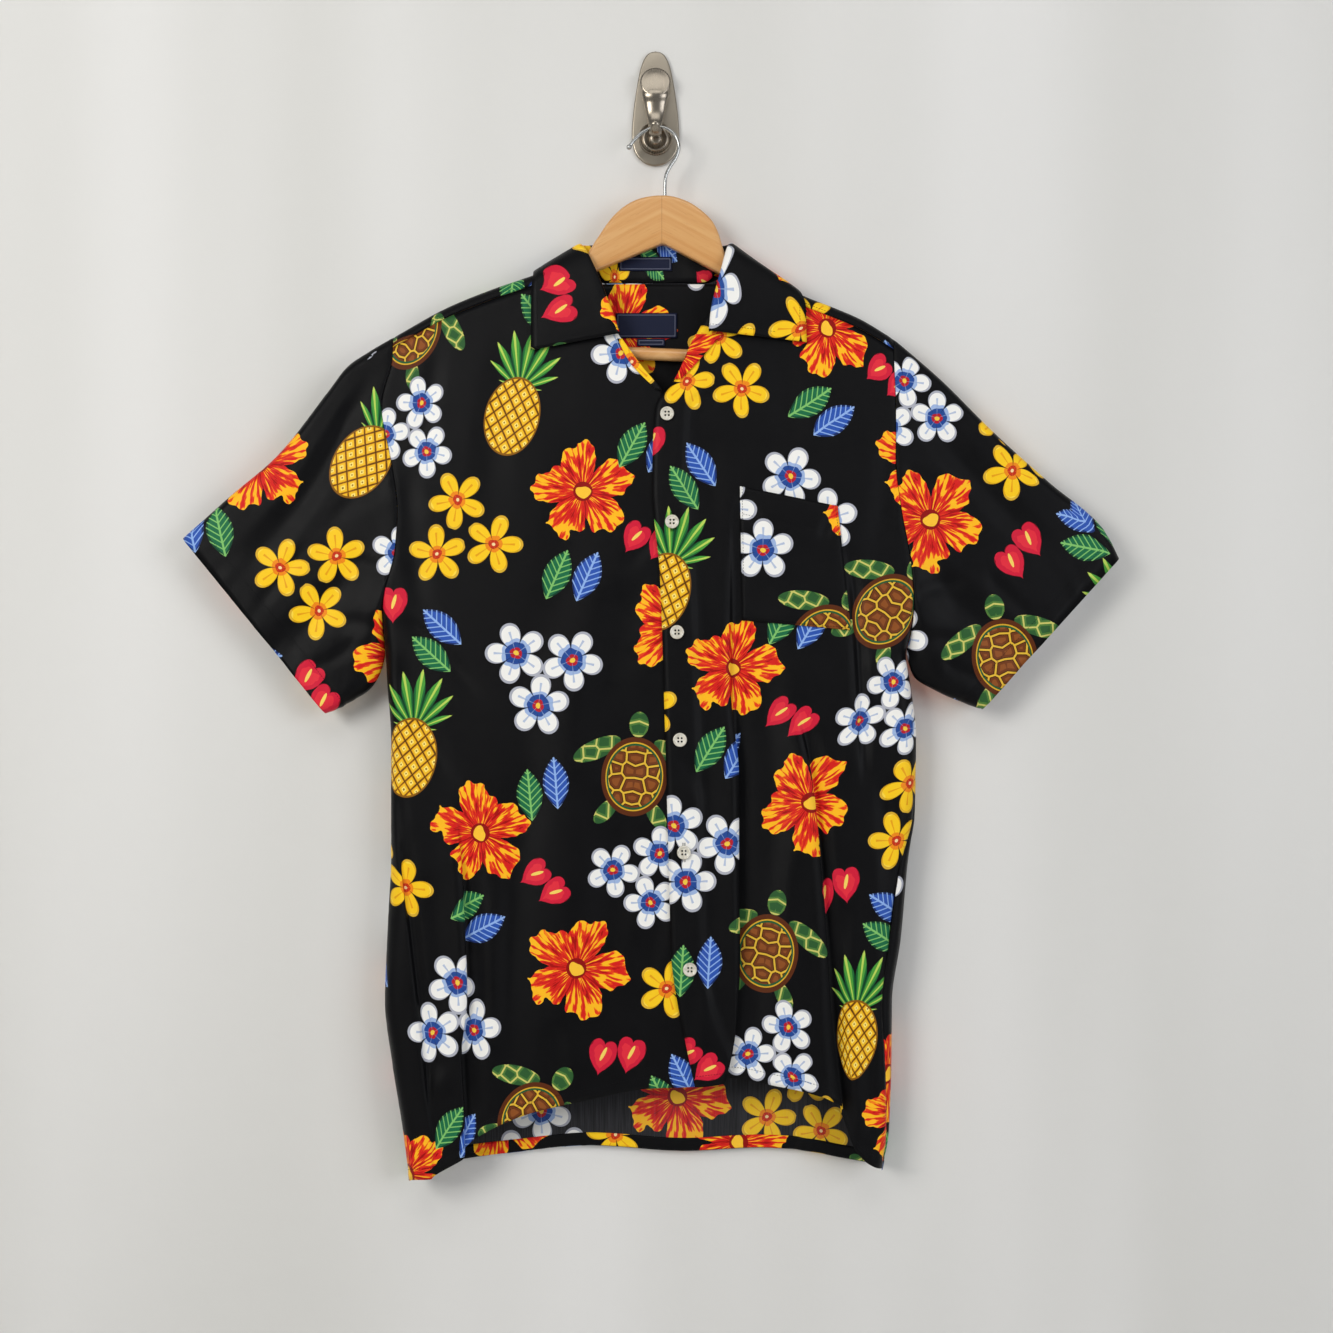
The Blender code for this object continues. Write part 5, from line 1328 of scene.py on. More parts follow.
# %% [markdown]
# ## The repeat
#
# A print repeats. Here the repeat is a square of 0.325 m, laid at a slant to the grain, and every row of
# `PRINT` puts one motif into it. The same motif turns a little from one repeat to the next, by a random
# number that belongs to its cell, so that the repeat is hard to spot.

# %% Layout of the print
GROUND = "#09090b"  # the black between the motifs
REPEAT = 0.325
SLANT = math.radians(17)
PRINT = table(
    "motif u v radius turn spread",
    ("turtle", 0.50, 0.165, 58, 0.5, 1.0), ("pineapple", 0.87, 0.09, 61, 0.25, 0.7),
    ("white_orchids", 0.17, 0.36, 57, 0.2, 1.5), ("white_orchids", 0.60, 0.90, 50, 1.0, 1.2),
    ("yellow_flowers", 0.84, 0.67, 58, 0.5, 1.4), ("hibiscus", 0.50, 0.60, 49, 0.3, 2.2),
    ("hibiscus", 0.13, 0.88, 47, 1.1, 2.2), ("leaf_pair", 0.265, 0.05, 30, 0.4, 1.2),
    ("leaf_pair", 0.86, 0.36, 30, -0.7, 1.2), ("leaf_pair", 0.17, 0.645, 31, 0.9, 1.2),
    ("anthurium", 0.68, 0.40, 27, 0.1, 0.8), ("anthurium", 0.345, 0.80, 25, 0.9, 0.8),
)


def draw_repeat(cloth, centre, size, turn, spread):
    """From a place in repeats to a place in a motif's own circle, turned cell by cell."""
    moved = cloth.into("VectorMath", {1: centre}, **MINUS)
    cell = moved.into("VectorMath", operation="FLOOR")
    chance = cell.into("TexWhiteNoise", out="Value", **FLAT)
    inside = moved.into("VectorMath", operation="FRACTION")
    local = inside.into("VectorMath", {1: (0.5, 0.5, 0.0)}, **MINUS)
    angle = (chance - 0.5) * spread + turn
    turned = local.into("VectorRotate", {"Angle": angle}, rotation_type="Z_AXIS")
    return [turned.into("VectorMath", {"Scale": size}, operation="SCALE")]


REPEAT_INPUTS = "Cloth:Vector Centre:Vector Size:Float Turn:Float Spread:Float"
repeat = node_group("repeat", "Shader", REPEAT_INPUTS, "Place:Vector", draw_repeat)


def draw_print(given):
    """From the cloth's own coordinates in metres to the print's colour."""
    cloth = given.into("Mapping", {"Rotation": (0, 0, SLANT), "Scale": (1 / REPEAT, 1 / REPEAT, 0)})
    colour = GROUND
    for name in dict.fromkeys(row["motif"] for row in PRINT):
        place = None
        for row in (row for row in PRINT if row["motif"] == name):
            centre, size = (row["u"] - 0.5, row["v"] - 0.5, 0), REPEAT / MM / row["radius"]
            inputs = {"Centre": centre, "Size": size, "Turn": row["turn"] - SLANT, "Spread": row["spread"]}
            near = cloth.into("Group", inputs, node_tree=repeat, at="Cloth")
            if place:
                is_near = near.into("VectorMath", **LENGTH).below(1.1)
                near = is_near.into("Mix", {4: place, 5: near}, 1, data_type="VECTOR")
            place = near
        drawn, inside = place.into("Group", node_tree=bpy.data.node_groups[name]).outputs(2)
        colour = inside.into("Mix", {6: colour, 7: drawn}, **LAID_ON)
    return [colour]


tropical_print = node_group("tropical_print", "Shader", "Cloth:Vector", "Colour:Color", draw_print)
print(len(PRINT), "motifs in a repeat of", REPEAT, "m")

# %% [markdown]
# ## The cloth's finishes
#
# The cloth is a thin, smooth polyester weave. It is black where nothing is printed, and a soft sheen
# runs over its folds. Two fine waves at right angles give the weave's bump, and a slow noise varies the
# gloss, as on silky cloth that has been worn. On the reverse the bright dyes show through, a little
# weaker, but the black is only a slubby charcoal.

# %% Shader helpers and the printed cloth
THREADS = 2600.0  # warp or weft threads in a metre
WAVE_IN_METRE = 3.183  # bands in a metre of the Wave node at a scale of 1


def paint(shader, **inputs):
    """Fill a shader's inputs by name."""
    for key, value in inputs.items():
        fill(shader.inputs[key.replace("_", " ")], value)


def new_material(name, colour, roughness, **constants):
    """A material with a Principled shader; constants are set on the shader's own sockets."""
    made = bpy.data.materials.new(name)
    made.use_nodes = True
    shader = made.node_tree.nodes["Principled BSDF"]
    paint(shader, Base_Color=colour, Roughness=roughness, **constants)
    return made, made.node_tree, shader


def raised(height, strength, depth):
    """Bump from a height field, `depth` metres from its lowest to its highest."""
    return height.into("Bump", {"Strength": strength, "Distance": depth}, at="Height")


def weave(cloth):
    """A plain weave: warp and weft waves."""
    scale = {"Scale": THREADS / WAVE_IN_METRE}
    warp, weft = (cloth.into("TexWave", scale, "Fac", bands_direction=way) for way in "XY")
    return warp + weft


def printed_cloth():
    """Silky printed polyester: black ground, bright motifs, a low sheen on the folds."""
    sheen = {"Specular_IOR_Level": 0.10, "Sheen_Weight": 0.02, "Sheen_Roughness": 0.42}
    made, tree, shader = new_material("printed_polyester", "#0c0c0e", 0.5, **sheen)
    cloth = add(tree, "UVMap", uv_map="cloth")
    gloss = cloth.into("TexNoise", {"Scale": 34.0}, **FLAT) * 0.20 + 0.30
    motifs = cloth.into("Group", node_tree=tropical_print)
    paint(shader, Base_Color=motifs, Roughness=gloss, Normal=raised(weave(cloth), 0.25, 0.00008))
    return made


def reverse_cloth():
    """The wrong side of the print: slubby charcoal, where the bright dyes show through."""
    made, tree, shader = new_material("reverse_of_print", "#242426", 0.72, Specular_IOR_Level=0.2)
    cloth = add(tree, "UVMap", uv_map="cloth")
    yarns = cloth.into("Mapping", {"Scale": (900, 24, 1)}).into("TexNoise", {"Scale": 1.0}, **FLAT)
    slub = yarns.into("ValToRGB", stops=((0.3, "#1b1b1d"), (0.75, "#303034")), blend="LINEAR")
    motifs = cloth.into("Group", node_tree=tropical_print)
    colour = add(tree, "Mix", {0: 0.82, 6: slub, 7: motifs}, blend_type="LIGHTEN", **LAID_ON)
    paint(shader, Base_Color=colour, Normal=raised(weave(cloth), 0.3, 0.0001))
    return made


outside, reverse = printed_cloth(), reverse_cloth()
print("cloth finishes:", outside.name, reverse.name)

# %% [markdown]
# The labels are woven navy satin, the thread is spun black polyester and the buttons are ivory resin
# with a faint cloud. The labels are bare but for a woven border.

# %% Labels, thread and buttons
LABEL_BORDER = (0.0016, 0.0021)  # where the border starts and ends, in from the label's edge


def satin_label():
    """Woven navy satin with a plain border of paler threads."""
    made, tree, shader = new_material("navy_satin_label", "#161d36", 0.5, Specular_IOR_Level=0.15)
    to_side, to_end = add(tree, "UVMap", uv_map="label").into("SeparateXYZ").outputs(2)
    nearest = to_side.smaller(to_end)
    border = nearest.above(LABEL_BORDER[0]) * nearest.below(LABEL_BORDER[1])
    colour = (border * 0.5).into("Mix", {6: "#141a31", 7: "#8e93a8"}, **LAID_ON)
    ribs = add(tree, "UVMap", uv_map="cloth").into("TexWave", {"Scale": 700.0}, "Fac", bands_direction="Y")
    paint(shader, Base_Color=colour, Normal=raised(ribs, 0.4, 0.00012))
    return made


def spun_thread(name, colour):
    """Twisted sewing thread: fine diagonal ply lines."""
    made, tree, shader = new_material(name, colour, 0.7, Specular_IOR_Level=0.12)
    place = add(tree, "TexCoord", out="Object")
    ply = place.into("TexWave", {"Scale": 900.0}, "Fac", bands_direction="DIAGONAL")
    paint(shader, Normal=raised(ply, 0.4, 0.00008))
    return made


def ivory_resin():
    """Cast ivory resin, polished, with a faint cloud in it."""
    made, tree, shader = new_material(
        "ivory_resin", "#dcd7ca", 0.24, Coat_Weight=0.25, Subsurface_Weight=0.08,
        Subsurface_Radius=(0.004, 0.003, 0.002), Subsurface_Scale=0.4,
    )
    place = add(tree, "TexCoord", out="Object")
    cloud = place.into("TexNoise", {"Scale": 160.0, "Detail": 3.0, "Distortion": 1.2})
    ivories = ((0.3, "#c3bdae"), (0.5, "#d6d1c3"), (0.7, "#e4e0d5"))
    paint(shader, Base_Color=cloud.into("ValToRGB", stops=ivories, blend="LINEAR"))
    return made


label_satin = satin_label()
black_thread = spun_thread("black_spun_thread", "#0e0e10")
button_resin = ivory_resin()
print("trim finishes:", label_satin.name, black_thread.name, button_resin.name)

# %% [markdown]
# The hanger is honey-coloured beech under clear varnish, glued from two arms with a joint in the middle.
# The grain is a stretched noise that leans along each arm. The hook is bright steel wire and the wall
# hook is cast and brushed to a satin nickel.

# %% Wood and metals
JOINT_X = 0.0059  # the glued joint of the hanger's two arms
ARM_SLOPE = 0.52  # how steeply the grain falls along the arms


def varnished_beech(name, joint):
    """Honey beech under clear varnish, with long grain along each arm."""
    made, tree, shader = new_material(name, "#d9984f", 0.3, Coat_Weight=0.5, Coat_Roughness=0.12)
    x, y, z = add(tree, "TexCoord", out="Object").into("SeparateXYZ").outputs(3)
    arm = (x - JOINT_X).size()
    rise = z + arm * ARM_SLOPE
    long, fine = (
        (arm * along).into("CombineXYZ", {1: y * across, 2: rise * across})
        for along, across in ((9.0, 160.0), (60.0, 900.0))
    )
    grain, fleck = (way.into("TexNoise", {"Scale": 1.0, "Detail": d}) for way, d in ((long, 5.0), (fine, 1.0)))
    honeys = ((0.28, "#c88d50"), (0.45, "#cf985b"), (0.58, "#d4a064"), (0.75, "#daab72"))
    colour = grain.into("ValToRGB", stops=honeys, blend="LINEAR")
    colour = (fleck.above(0.66) * 0.2).into("Mix", {6: colour, 7: "#9a5f2a"}, **LAID_ON)
    if joint:
        colour = (arm.below(0.00035) * 0.45).into("Mix", {6: colour, 7: "#a06a38"}, **LAID_ON)
    paint(shader, Base_Color=colour, Normal=raised(grain, 0.15, 0.0003))
    return made


def metal(name, colour, roughness, stretch, depth):
    """A metal with fine lines from drawing or brushing, stretched along one axis."""
    made, tree, shader = new_material(name, colour, roughness, Metallic=1.0)
    lines = add(tree, "TexCoord", out="Object").into("Mapping", {"Scale": stretch})
    brushed = lines.into("TexNoise", {"Scale": 1.0, "Detail": 3.0})
    paint(shader, Roughness=brushed * 0.16 + (roughness - 0.08), Normal=raised(brushed, 0.2, depth))
    return made


beech = varnished_beech("varnished_beech", True)
beech_bar = varnished_beech("turned_beech", False)
bright_wire = metal("drawn_steel_wire", "#b2b3b1", 0.2, (900, 900, 60), 0.00005)
satin_nickel = metal("brushed_nickel", "#a09789", 0.34, (1400, 500, 90), 0.00006)
polished_nickel = metal("polished_nickel", "#9a9184", 0.29, (900, 300, 90), 0.00003)
print("hard finishes:", beech.name, bright_wire.name, satin_nickel.name)

# %% [markdown]
# ## Dressing the body
#
# With shapes and finishes ready, the four body panels are made. Each has its own start on the cloth, as
# if it was cut from another place of the roll, so the print breaks at the seams as it does on the real
# shirt.

# %% Fronts, back, yoke and sleeves
ONE_SIDED, TWO_SIDED = (outside, reverse), (outside, outside)
FRONT_WAY = np.array([0.0, -1.0, 0.0])
grids = {}


def keep(node, made, *grid):
    """Dress a piece of the printed cloth, and keep its points and normals for the stitches."""
    grids[node] = grid
    dress(made, "printed_cloth", node)


for node, panel, (s, z), start in (
    ("front_right", "right_front", (front_s, front_z), (0, 0)),
    ("front_left", "left_front", panel_grid("left_front", shoulder_seam_z, front_hem), (171, 66)),
    ("back", "back", panel_grid("back", back_top, back_hem), (-93, 125)),
    ("yoke", "yoke", (yoke_s, yoke_height), (58, -47)),
):
    keep(node, *body_shell("cloth_" + node, panel, s, z, start, ONE_SIDED))
for node, side, rows, start in (
    ("sleeve_right", "left", RIGHT_SLEEVE, (40, 119)),
    ("sleeve_left", "right", LEFT_SLEEVE, (226, -32)),
):
    keep(node, *sleeve_shell("cloth_" + node, side, rows, start, ONE_SIDED))

# %% Collar, lapels, pocket and inner yoke
keep("collar", *collar_shell(TWO_SIDED))


def front_sheet(name, points, cloth_uv, finishes, **extra):
    """A sheet that faces the front, with its points and normals."""
    normals = outward_normals(points, FRONT_WAY)
    return shell(name, points, normals, cloth_uv, finishes=finishes, **extra), points, normals


for row in LAPELS:
    points = lapel_grid(row)
    cloth_uv = on_cloth(points[..., 0], points[..., 2], (row["start_x"], 90))
    keep(row["name"], *front_sheet(row["name"] + "_turn", points, cloth_uv, TWO_SIDED))
keep("pocket", *front_sheet("cloth_pocket", *pocket_grid(), ONE_SIDED))
keep("yoke_lining", *front_sheet("inner_yoke", *lining_grid(), TWO_SIDED))

# %% [markdown]
# ## The turned-up back hem
#
# The back is longer than the fronts, so the inside of its hem shows. A hem is turned up to the inside,
# which brings the printed side round to the front. It is a strip of its own, close to the back's inner
# face, with the bright print.

# %% Inside of the back hem
HEM_STRIP = 12.0


def at_distance(points, runs, distance):
    """Points at one or more distances along each column of a grid."""
    both = zip(runs, points)
    return np.array([[np.interp(distance, run, axis) for axis in column.T] for run, column in both])


def hem_strip():
    """The turned-up edge inside the back, from one side seam to the other."""
    points, normals = (grid[:, ::-1] for grid in grids["back"])
    inner_face = points - (SHELL + 0.25) * normals
    places = np.linspace(0, HEM_STRIP, 7) + 0.4
    strip = at_distance(inner_face, run_along(points, 1), places).transpose(0, 2, 1)
    strip[:, -1] += 0.2 * normals[:, 3]
    strip = strip[2:-2]
    inward = outward_normals(strip, FRONT_WAY)
    strip = strip + 0.2 * inward
    cloth_uv = on_cloth(strip[..., 0], -strip[..., 2], (47, -700))
    return shell("back_hem_turn", strip, inward, cloth_uv, thick=0.35, finishes=TWO_SIDED)


dress(hem_strip(), "printed_cloth")

# %% [markdown]
# ## Labels
#
# A woven label, a small tab below it and a narrow label on the collar's stand. They are thin satin
# with edges turned under, and carry nothing but a plain woven border.

# %% Labels
LABELS = table(
    "name left right top bottom rows y",
    ("neck_label", -36.5, 19.9, -194, -217, 13, None),
    ("size_tab", -17, 8.8, -217.6, -224.5, 13, None),
    ("care_label", -33.7, 15.3, -142, -155, 9, -16.7),
)
LABEL_THICK = 0.8


def label_piece(node, x, z, y):
    """A label: a gently uneven sheet with soft edges, and the distances to its own edges as a map."""
    edge = np.minimum(np.minimum(x - x.min(), x.max() - x), np.minimum(z - z.min(), z.max() - z))
    bow = 0.22 * waves(x + z, 31.0, 19.0)
    points = np.stack([x, y + 0.35 * np.exp(-edge / 0.8) - bow * ease(edge / 4), z], axis=-1)
    cloth_uv = on_cloth(x, z, (0, 0))
    made, *_ = front_sheet(node + "_satin", points, cloth_uv, (label_satin, label_satin), thick=0.4)
    places = np.empty(2 * len(made.data.loops), np.float32)
    made.data.uv_layers["cloth"].data.foreach_get("uv", places)
    places = places.reshape(-1, 2)
    to_edges = np.minimum(places - places.min(0), places.max(0) - places)
    made.data.uv_layers.new(name="label").data.foreach_set("uv", to_edges.reshape(-1))
    dress(made, "woven_label", node)


for row in LABELS:
    heights = np.linspace(row["top"], row["bottom"], row["rows"])
    x, z = np.meshgrid(np.linspace(row["left"], row["right"], 25), heights, indexing="ij")
    y = row["y"] or body_point("yoke", x, z)[..., 1] - (CLOTH + LINING_THICK + 2 * LAYER + LABEL_THICK)
    label_piece(row["name"], x, z, y)
print(len(LABELS), "labels")

# %% [markdown]
# ## Stitching with Geometry Nodes
#
# A stitch is the same small thing repeated along a line, which is what Geometry Nodes are for. The tree
# takes lines of edges, spaces points along them by `Pitch`, and puts one thread-thick ellipsoid on each,
# turned along the line. Its ends dip into the cloth, as a stitch does. Changing `Pitch` or `Thread`
# changes every stitch of the shirt.

# %% Stitch tree
STITCH = {"Pitch": 0.0026, "Stitch": 0.0019, "Thread": 0.00022}


def draw_stitches(lines, pitch, stitch, thread):
    """Lines of edges in, stitches out."""
    tree = lines.node.id_data
    curve = lines.into("GeometryNodeMeshToCurve")
    spots = curve.into("GeometryNodeResampleCurve", {"Length": pitch}, mode="LENGTH")
    ball = add(tree, "GeometryNodeMeshUVSphere", {"Segments": 6, "Rings": 5, "Radius": 1.0})
    tangent = add(tree, "GeometryNodeInputTangent")
    turned = tangent.into("FunctionNodeAlignRotationToVector", at="Vector", axis="Z")
    size = thread.into("CombineXYZ", {1: thread, 2: stitch * 0.5})
    placed = spots.into("GeometryNodeInstanceOnPoints", {"Instance": ball, "Rotation": turned, "Scale": size})
    rounded = placed.into("GeometryNodeRealizeInstances").into("GeometryNodeSetShadeSmooth")
    return [rounded.into("GeometryNodeSetMaterial", {"Material": black_thread})]


STITCH_INPUTS = "Lines:Geometry Pitch:Float Stitch:Float Thread:Float"
topstitch = node_group("topstitch", "Geometry", STITCH_INPUTS, "Stitches:Geometry", draw_stitches)


def baked(holder, name, *tools):
    """A plain mesh of an object with its modifiers applied; the object and its tools go."""
    evaluated = holder.evaluated_get(bpy.context.evaluated_depsgraph_get())
    made = linked(name, bpy.data.meshes.new_from_object(evaluated))
    for used in (holder, *tools):
        bpy.data.objects.remove(used)
    return made


def stitched(name, lines, **sizes):
    """Stitches along lines of points in mm, as a plain mesh that rides with the shirt."""
    vertices, edges = [], []
    for line in lines:
        start = len(vertices)
        vertices += [tuple(point * MM) for point in line]
        edges += [(start + k, start + k + 1) for k in range(len(line) - 1)]
    holder = plain_mesh(name + "_lines", vertices, edges)
    sewing = holder.modifiers.new("sewing", "NODES")
    sewing.node_group = topstitch
    sizes = {**STITCH, **sizes}
    for item in topstitch.interface.items_tree:
        if item.name in sizes:
            sewing[item.identifier] = sizes[item.name]
    made = baked(holder, name)
    print(f"{name}: {len(lines)} lines, {len(made.data.polygons)} faces")
    dress(made, "printed_cloth")


def inset_line(piece, distance, edge, trim=0, lift=0.05):
    """Points of a piece at a distance in from one edge, measured along the cloth."""
    points, normals = grids[piece]
    if edge in ("first_column", "last_column"):
        points, normals = points.transpose(1, 0, 2), normals.transpose(1, 0, 2)
    if edge in ("last_row", "last_column"):
        points, normals = points[:, ::-1], normals[:, ::-1]
    line = at_distance(points + lift * normals, run_along(points, 1), distance)
    return line[trim : len(line) - trim]


hems = [inset_line(piece, HEM_DEEP, "last_row", 1) for piece in ("front_right", "front_left", "back")]
stitched("hem_stitches", hems)
cuffs = [inset_line(piece, SLEEVE_HEM, "last_row") for piece in ("sleeve_right", "sleeve_left")]
stitched("sleeve_hem_stitches", [np.concatenate([line, line[:1]]) for line in cuffs])

# %% Collar, pocket and seam stitches
leaf_ends = [inset_line("collar", COLLAR_STITCH, edge)[9:-4] for edge in ("first_column", "last_column")]
stitched("collar_stitches", [inset_line("collar", COLLAR_STITCH, "last_row", 7), *leaf_ends])
pocket_lines = [inset_line("pocket", 2.0, edge) for edge in ("first_column", "last_column", "last_row")]
stitched("pocket_stitches", [*pocket_lines, inset_line("pocket", POCKET_FACING, "first_row", 1)])
shoulder = inset_line("yoke", 3.0, "last_row")
stitched("yoke_seam_stitches", [inset_line("yoke", 3.0, "first_row", 1), shoulder[:33], shoulder[-29:]])

# %% [markdown]
# ## Buttons and buttonholes
#
# Each button is turned from a profile: a rounded rim and a bowl with four holes. Boolean cutters drill
# the holes, and the result is kept as a plain mesh. Two short threads lie in the bowl. Behind each
# button the left front has a buttonhole, sewn round with close stitches.

# %% Buttons
BUTTONS = table(
    "name x z",
    ("button_1", 10.7, -290), ("button_2", 15.2, -388.4), ("button_3", 19.7, -488.8),
    ("button_4", 22.4, -586.5), ("button_5", 26.0, -688.6), ("button_6", 31.4, -794.4),
)
BUTTON_WIDE, BUTTON_HOLE, BUTTON_PITCH = 12.7, 1.9, 3.1
BUTTON_SIDES = 44
# the profile of a button: how far in from its rim, and how far up from its seat
BUTTON_PROFILE = (
    (1.1, 0.0), (0.5, 0.25), (0.12, 0.8), (0.0, 1.5), (0.12, 2.2), (0.45, 2.65), (0.9, 2.8),
    (1.35, 2.68), (1.7, 2.35), (2.1, 2.0), (3.2, 1.85), (4.6, 1.8),
)


def skin(build, rings):
    """Join rings of points in mm into one skin, closed at both ends."""
    rings = [[build.verts.new(tuple(MM * place)) for place in ring] for ring in rings]
    for one, two in zip(rings, rings[1:]):
        for k in range(len(one)):
            after = (k + 1) % len(one)
            build.faces.new([one[k], one[after], two[after], two[k]])
    build.faces.new(rings[0][::-1])
    build.faces.new(rings[-1])
    bmesh.ops.recalc_face_normals(build, faces=build.faces)


def lathe(profile, foot, tilt=0.0, sides=BUTTON_SIDES):
    """Rings of a profile of (radius, out) round an axis that leans up from -Y by `tilt`."""
    out_way = np.array([0.0, -math.cos(tilt), math.sin(tilt)])
    up_way = np.array([0.0, math.sin(tilt), math.cos(tilt)])
    turns = (np.arange(sides) * 2 * math.pi / sides)[:, None]
    round_way = np.cos(turns) * (1.0, 0.0, 0.0) + np.sin(turns) * up_way
    return [foot + radius * round_way + out * out_way for radius, out in profile]


def object_from(name, build):
    made = plain_mesh(name, ())
    build.to_mesh(made.data)
    build.free()
    return made


def finished(made, finish, sharp):
    """Give a plain mesh its finish, smooth but for edges sharper than an angle in degrees."""
    made.data.materials.clear()
    made.data.materials.append(finish)
    made.data.shade_smooth()
    made.data.set_sharp_from_angle(angle=math.radians(sharp))
    return made


def seat_of(row):
    """Where a button of the frame sits on the cloth, in mm."""
    return max(corner[1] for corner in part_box(row["name"])) / MM


def button_piece(row):
    """A four-hole button, seated where the frame's button is."""
    centre, half = (row["x"], seat_of(row), row["z"]), BUTTON_PITCH / 2
    build, drills = bmesh.new(), bmesh.new()
    skin(build, lathe([(BUTTON_WIDE / 2 - inwards, up) for inwards, up in BUTTON_PROFILE], centre))
    for dx, dz in ((-half, -half), (half, -half), (-half, half), (half, half)):
        place = Vector((MM * (centre[0] + dx), MM * (centre[1] - 1.4), MM * (centre[2] + dz)))
        matrix = Matrix.Translation(place) @ Matrix.Rotation(math.pi / 2, 4, "X")
        radii = {"radius1": MM * BUTTON_HOLE / 2, "radius2": MM * BUTTON_HOLE / 2}
        bmesh.ops.create_cone(drills, cap_ends=True, segments=14, depth=MM * 6, matrix=matrix, **radii)
    blank, drill = object_from(row["name"] + "_blank", build), object_from(row["name"] + "_drill", drills)
    cut = blank.modifiers.new("holes", "BOOLEAN")
    cut.object, cut.operation, cut.solver = drill, "DIFFERENCE", "EXACT"
    dress(finished(baked(blank, row["name"] + "_turned", drill), button_resin, 38), "ivory_button", row["name"])


for row in BUTTONS:
    button_piece(row)
print(len(BUTTONS), "buttons")

# %% Buttonholes and button threads
hole_lines, thread_lines = [], []
for row in BUTTONS:
    for side in (-0.9, 0.9):
        heights = row["z"] + np.linspace(-8.2, 8.2, 12)
        hole_lines.append(on_front(np.full(12, row["x"] + side), heights, 0.15))
        span = row["z"] + np.linspace(-BUTTON_PITCH / 2, BUTTON_PITCH / 2, 3)
        across = np.full(3, row["x"] + side * BUTTON_PITCH / 1.8)
        thread_lines.append(np.stack([across, np.full(3, seat_of(row) - 1.6), span], axis=-1))
stitched("buttonhole_stitches", hole_lines, Pitch=0.0007, Stitch=0.0013, Thread=0.00035)
stitched("button_threads", thread_lines, Pitch=0.0012, Stitch=0.0022, Thread=0.00016)

# %% [markdown]
# ## The hanger and its hook
#
# The hanger's arms are one shaped board with rounded edges. Its outline is the frame's, drawn as a
# smooth curve, and its section is rounded by a Bevel modifier that is applied at once. The crook is wire
# with a small ball at its tip.

# %% Hanger wood
WOOD_THICK = 12.0
WOOD_TOP = table(
    "x z",
    (-192, -199), (-184, -192.5), (-168, -186), (-152, -179), (-113, -165.5), (-80, -154.4), (-66, -146.2),
    (-54, -128), (-38, -106), (-18, -92), (8, -87.8), (30, -93.5), (48, -106.5), (57, -120), (66, -145.8),
    (80, -155.2), (100, -165.6), (138, -185.1), (165, -195.5), (190, -206.8), (204, -215), (210, -222),
)
WOOD_UNDER = table(
    "x z",
    (210, -250), (204, -255), (196, -256), (196, -230), (165, -214), (138, -205), (100, -184), (80, -172),
    (57, -158.5), (7, -132), (-54, -157), (-80, -171), (-113, -188), (-150, -206), (-178, -215), (-178, -240),
    (-187, -239), (-192, -234),
)
BAR_WIDE = 11.6
BAR_ENDS = table("x z", (-177.7, -226.0), (195.7, -241.0))

# the steel hook of the hanger, from the ball at its tip down to the wood
WIRE_WIDE, BALL_WIDE = 3.2, 5.0
WIRE = table(
    "x z",
    (-24.2, -42.8), (-19.8, -36.8), (-13.6, -30.6), (-7.0, -26.6), (0.0, -24.3), (7.6, -24.8), (14.6, -28.4),
    (19.6, -34.4), (21.6, -42.6), (19.0, -52.2), (13.6, -60.6), (9.8, -68.6), (8.9, -77.0), (8.8, -87.4),
)


def rounded_board(name, loop, near, far, bevel, finish):
    """A flat outline between two depths, with its long edges rounded, as a plain mesh."""
    build = bmesh.new()
    face = build.faces.new([build.verts.new((MM * x, MM * near, MM * z)) for x, z in loop])
    grown = bmesh.ops.extrude_face_region(build, geom=[face])
    moved = [item for item in grown["geom"] if isinstance(item, bmesh.types.BMVert)]
    bmesh.ops.translate(build, verts=moved, vec=(0, MM * (far - near), 0))
    bmesh.ops.recalc_face_normals(build, faces=build.faces)
    blank = object_from(name + "_blank", build)
    round_edge = blank.modifiers.new("round_edge", "BEVEL")
    round_edge.width, round_edge.segments = bevel * MM, 5
    round_edge.limit_method, round_edge.angle_limit = "ANGLE", math.radians(50)
    return finished(baked(blank, name), finish, 40)


wood_loop = [tuple(spot) for spot in through([(row["x"], row["z"]) for row in WOOD_TOP], 5)]
wood_loop += [(row["x"], row["z"]) for row in WOOD_UNDER]
near, far = HANGER_Y - WOOD_THICK / 2, HANGER_Y + WOOD_THICK / 2
dress(rounded_board("hanger_board", wood_loop, near, far, 3.2, beech), "varnished_wood", "hanger_wood")

# %% Trouser bar and wire crook
def smooth_solid(name, skins, finish):
    """One object of closed skins, each given as rings of points in mm."""
    build = bmesh.new()
    for rings in skins:
        skin(build, rings)
    return finished(object_from(name, build), finish, 50)


def ovals(centres, half_across, half_thick, across, sides):
    """Rings round a line of centres: ovals square to it, `across` being one of their axes."""
    ahead = unit(np.gradient(np.array(centres, float), axis=0))
    turns = (2 * np.pi * np.arange(sides) / sides)[:, None]
    rings = []
    for centre, way, wide, thick in zip(centres, ahead, half_across, half_thick):
        side = across(way)
        rings.append(centre + wide * np.cos(turns) * side + thick * np.sin(turns) * np.cross(way, side))
    return rings


def tube(name, points, radii, finish, sides=20):
    """A round bar along points in mm in the hanger's plane, with its own radius at each."""
    rings = ovals(points, radii, radii, lambda way: unit(np.cross((0.0, 1.0, 0.0), way)), sides)
    return smooth_solid(name, [rings], finish)


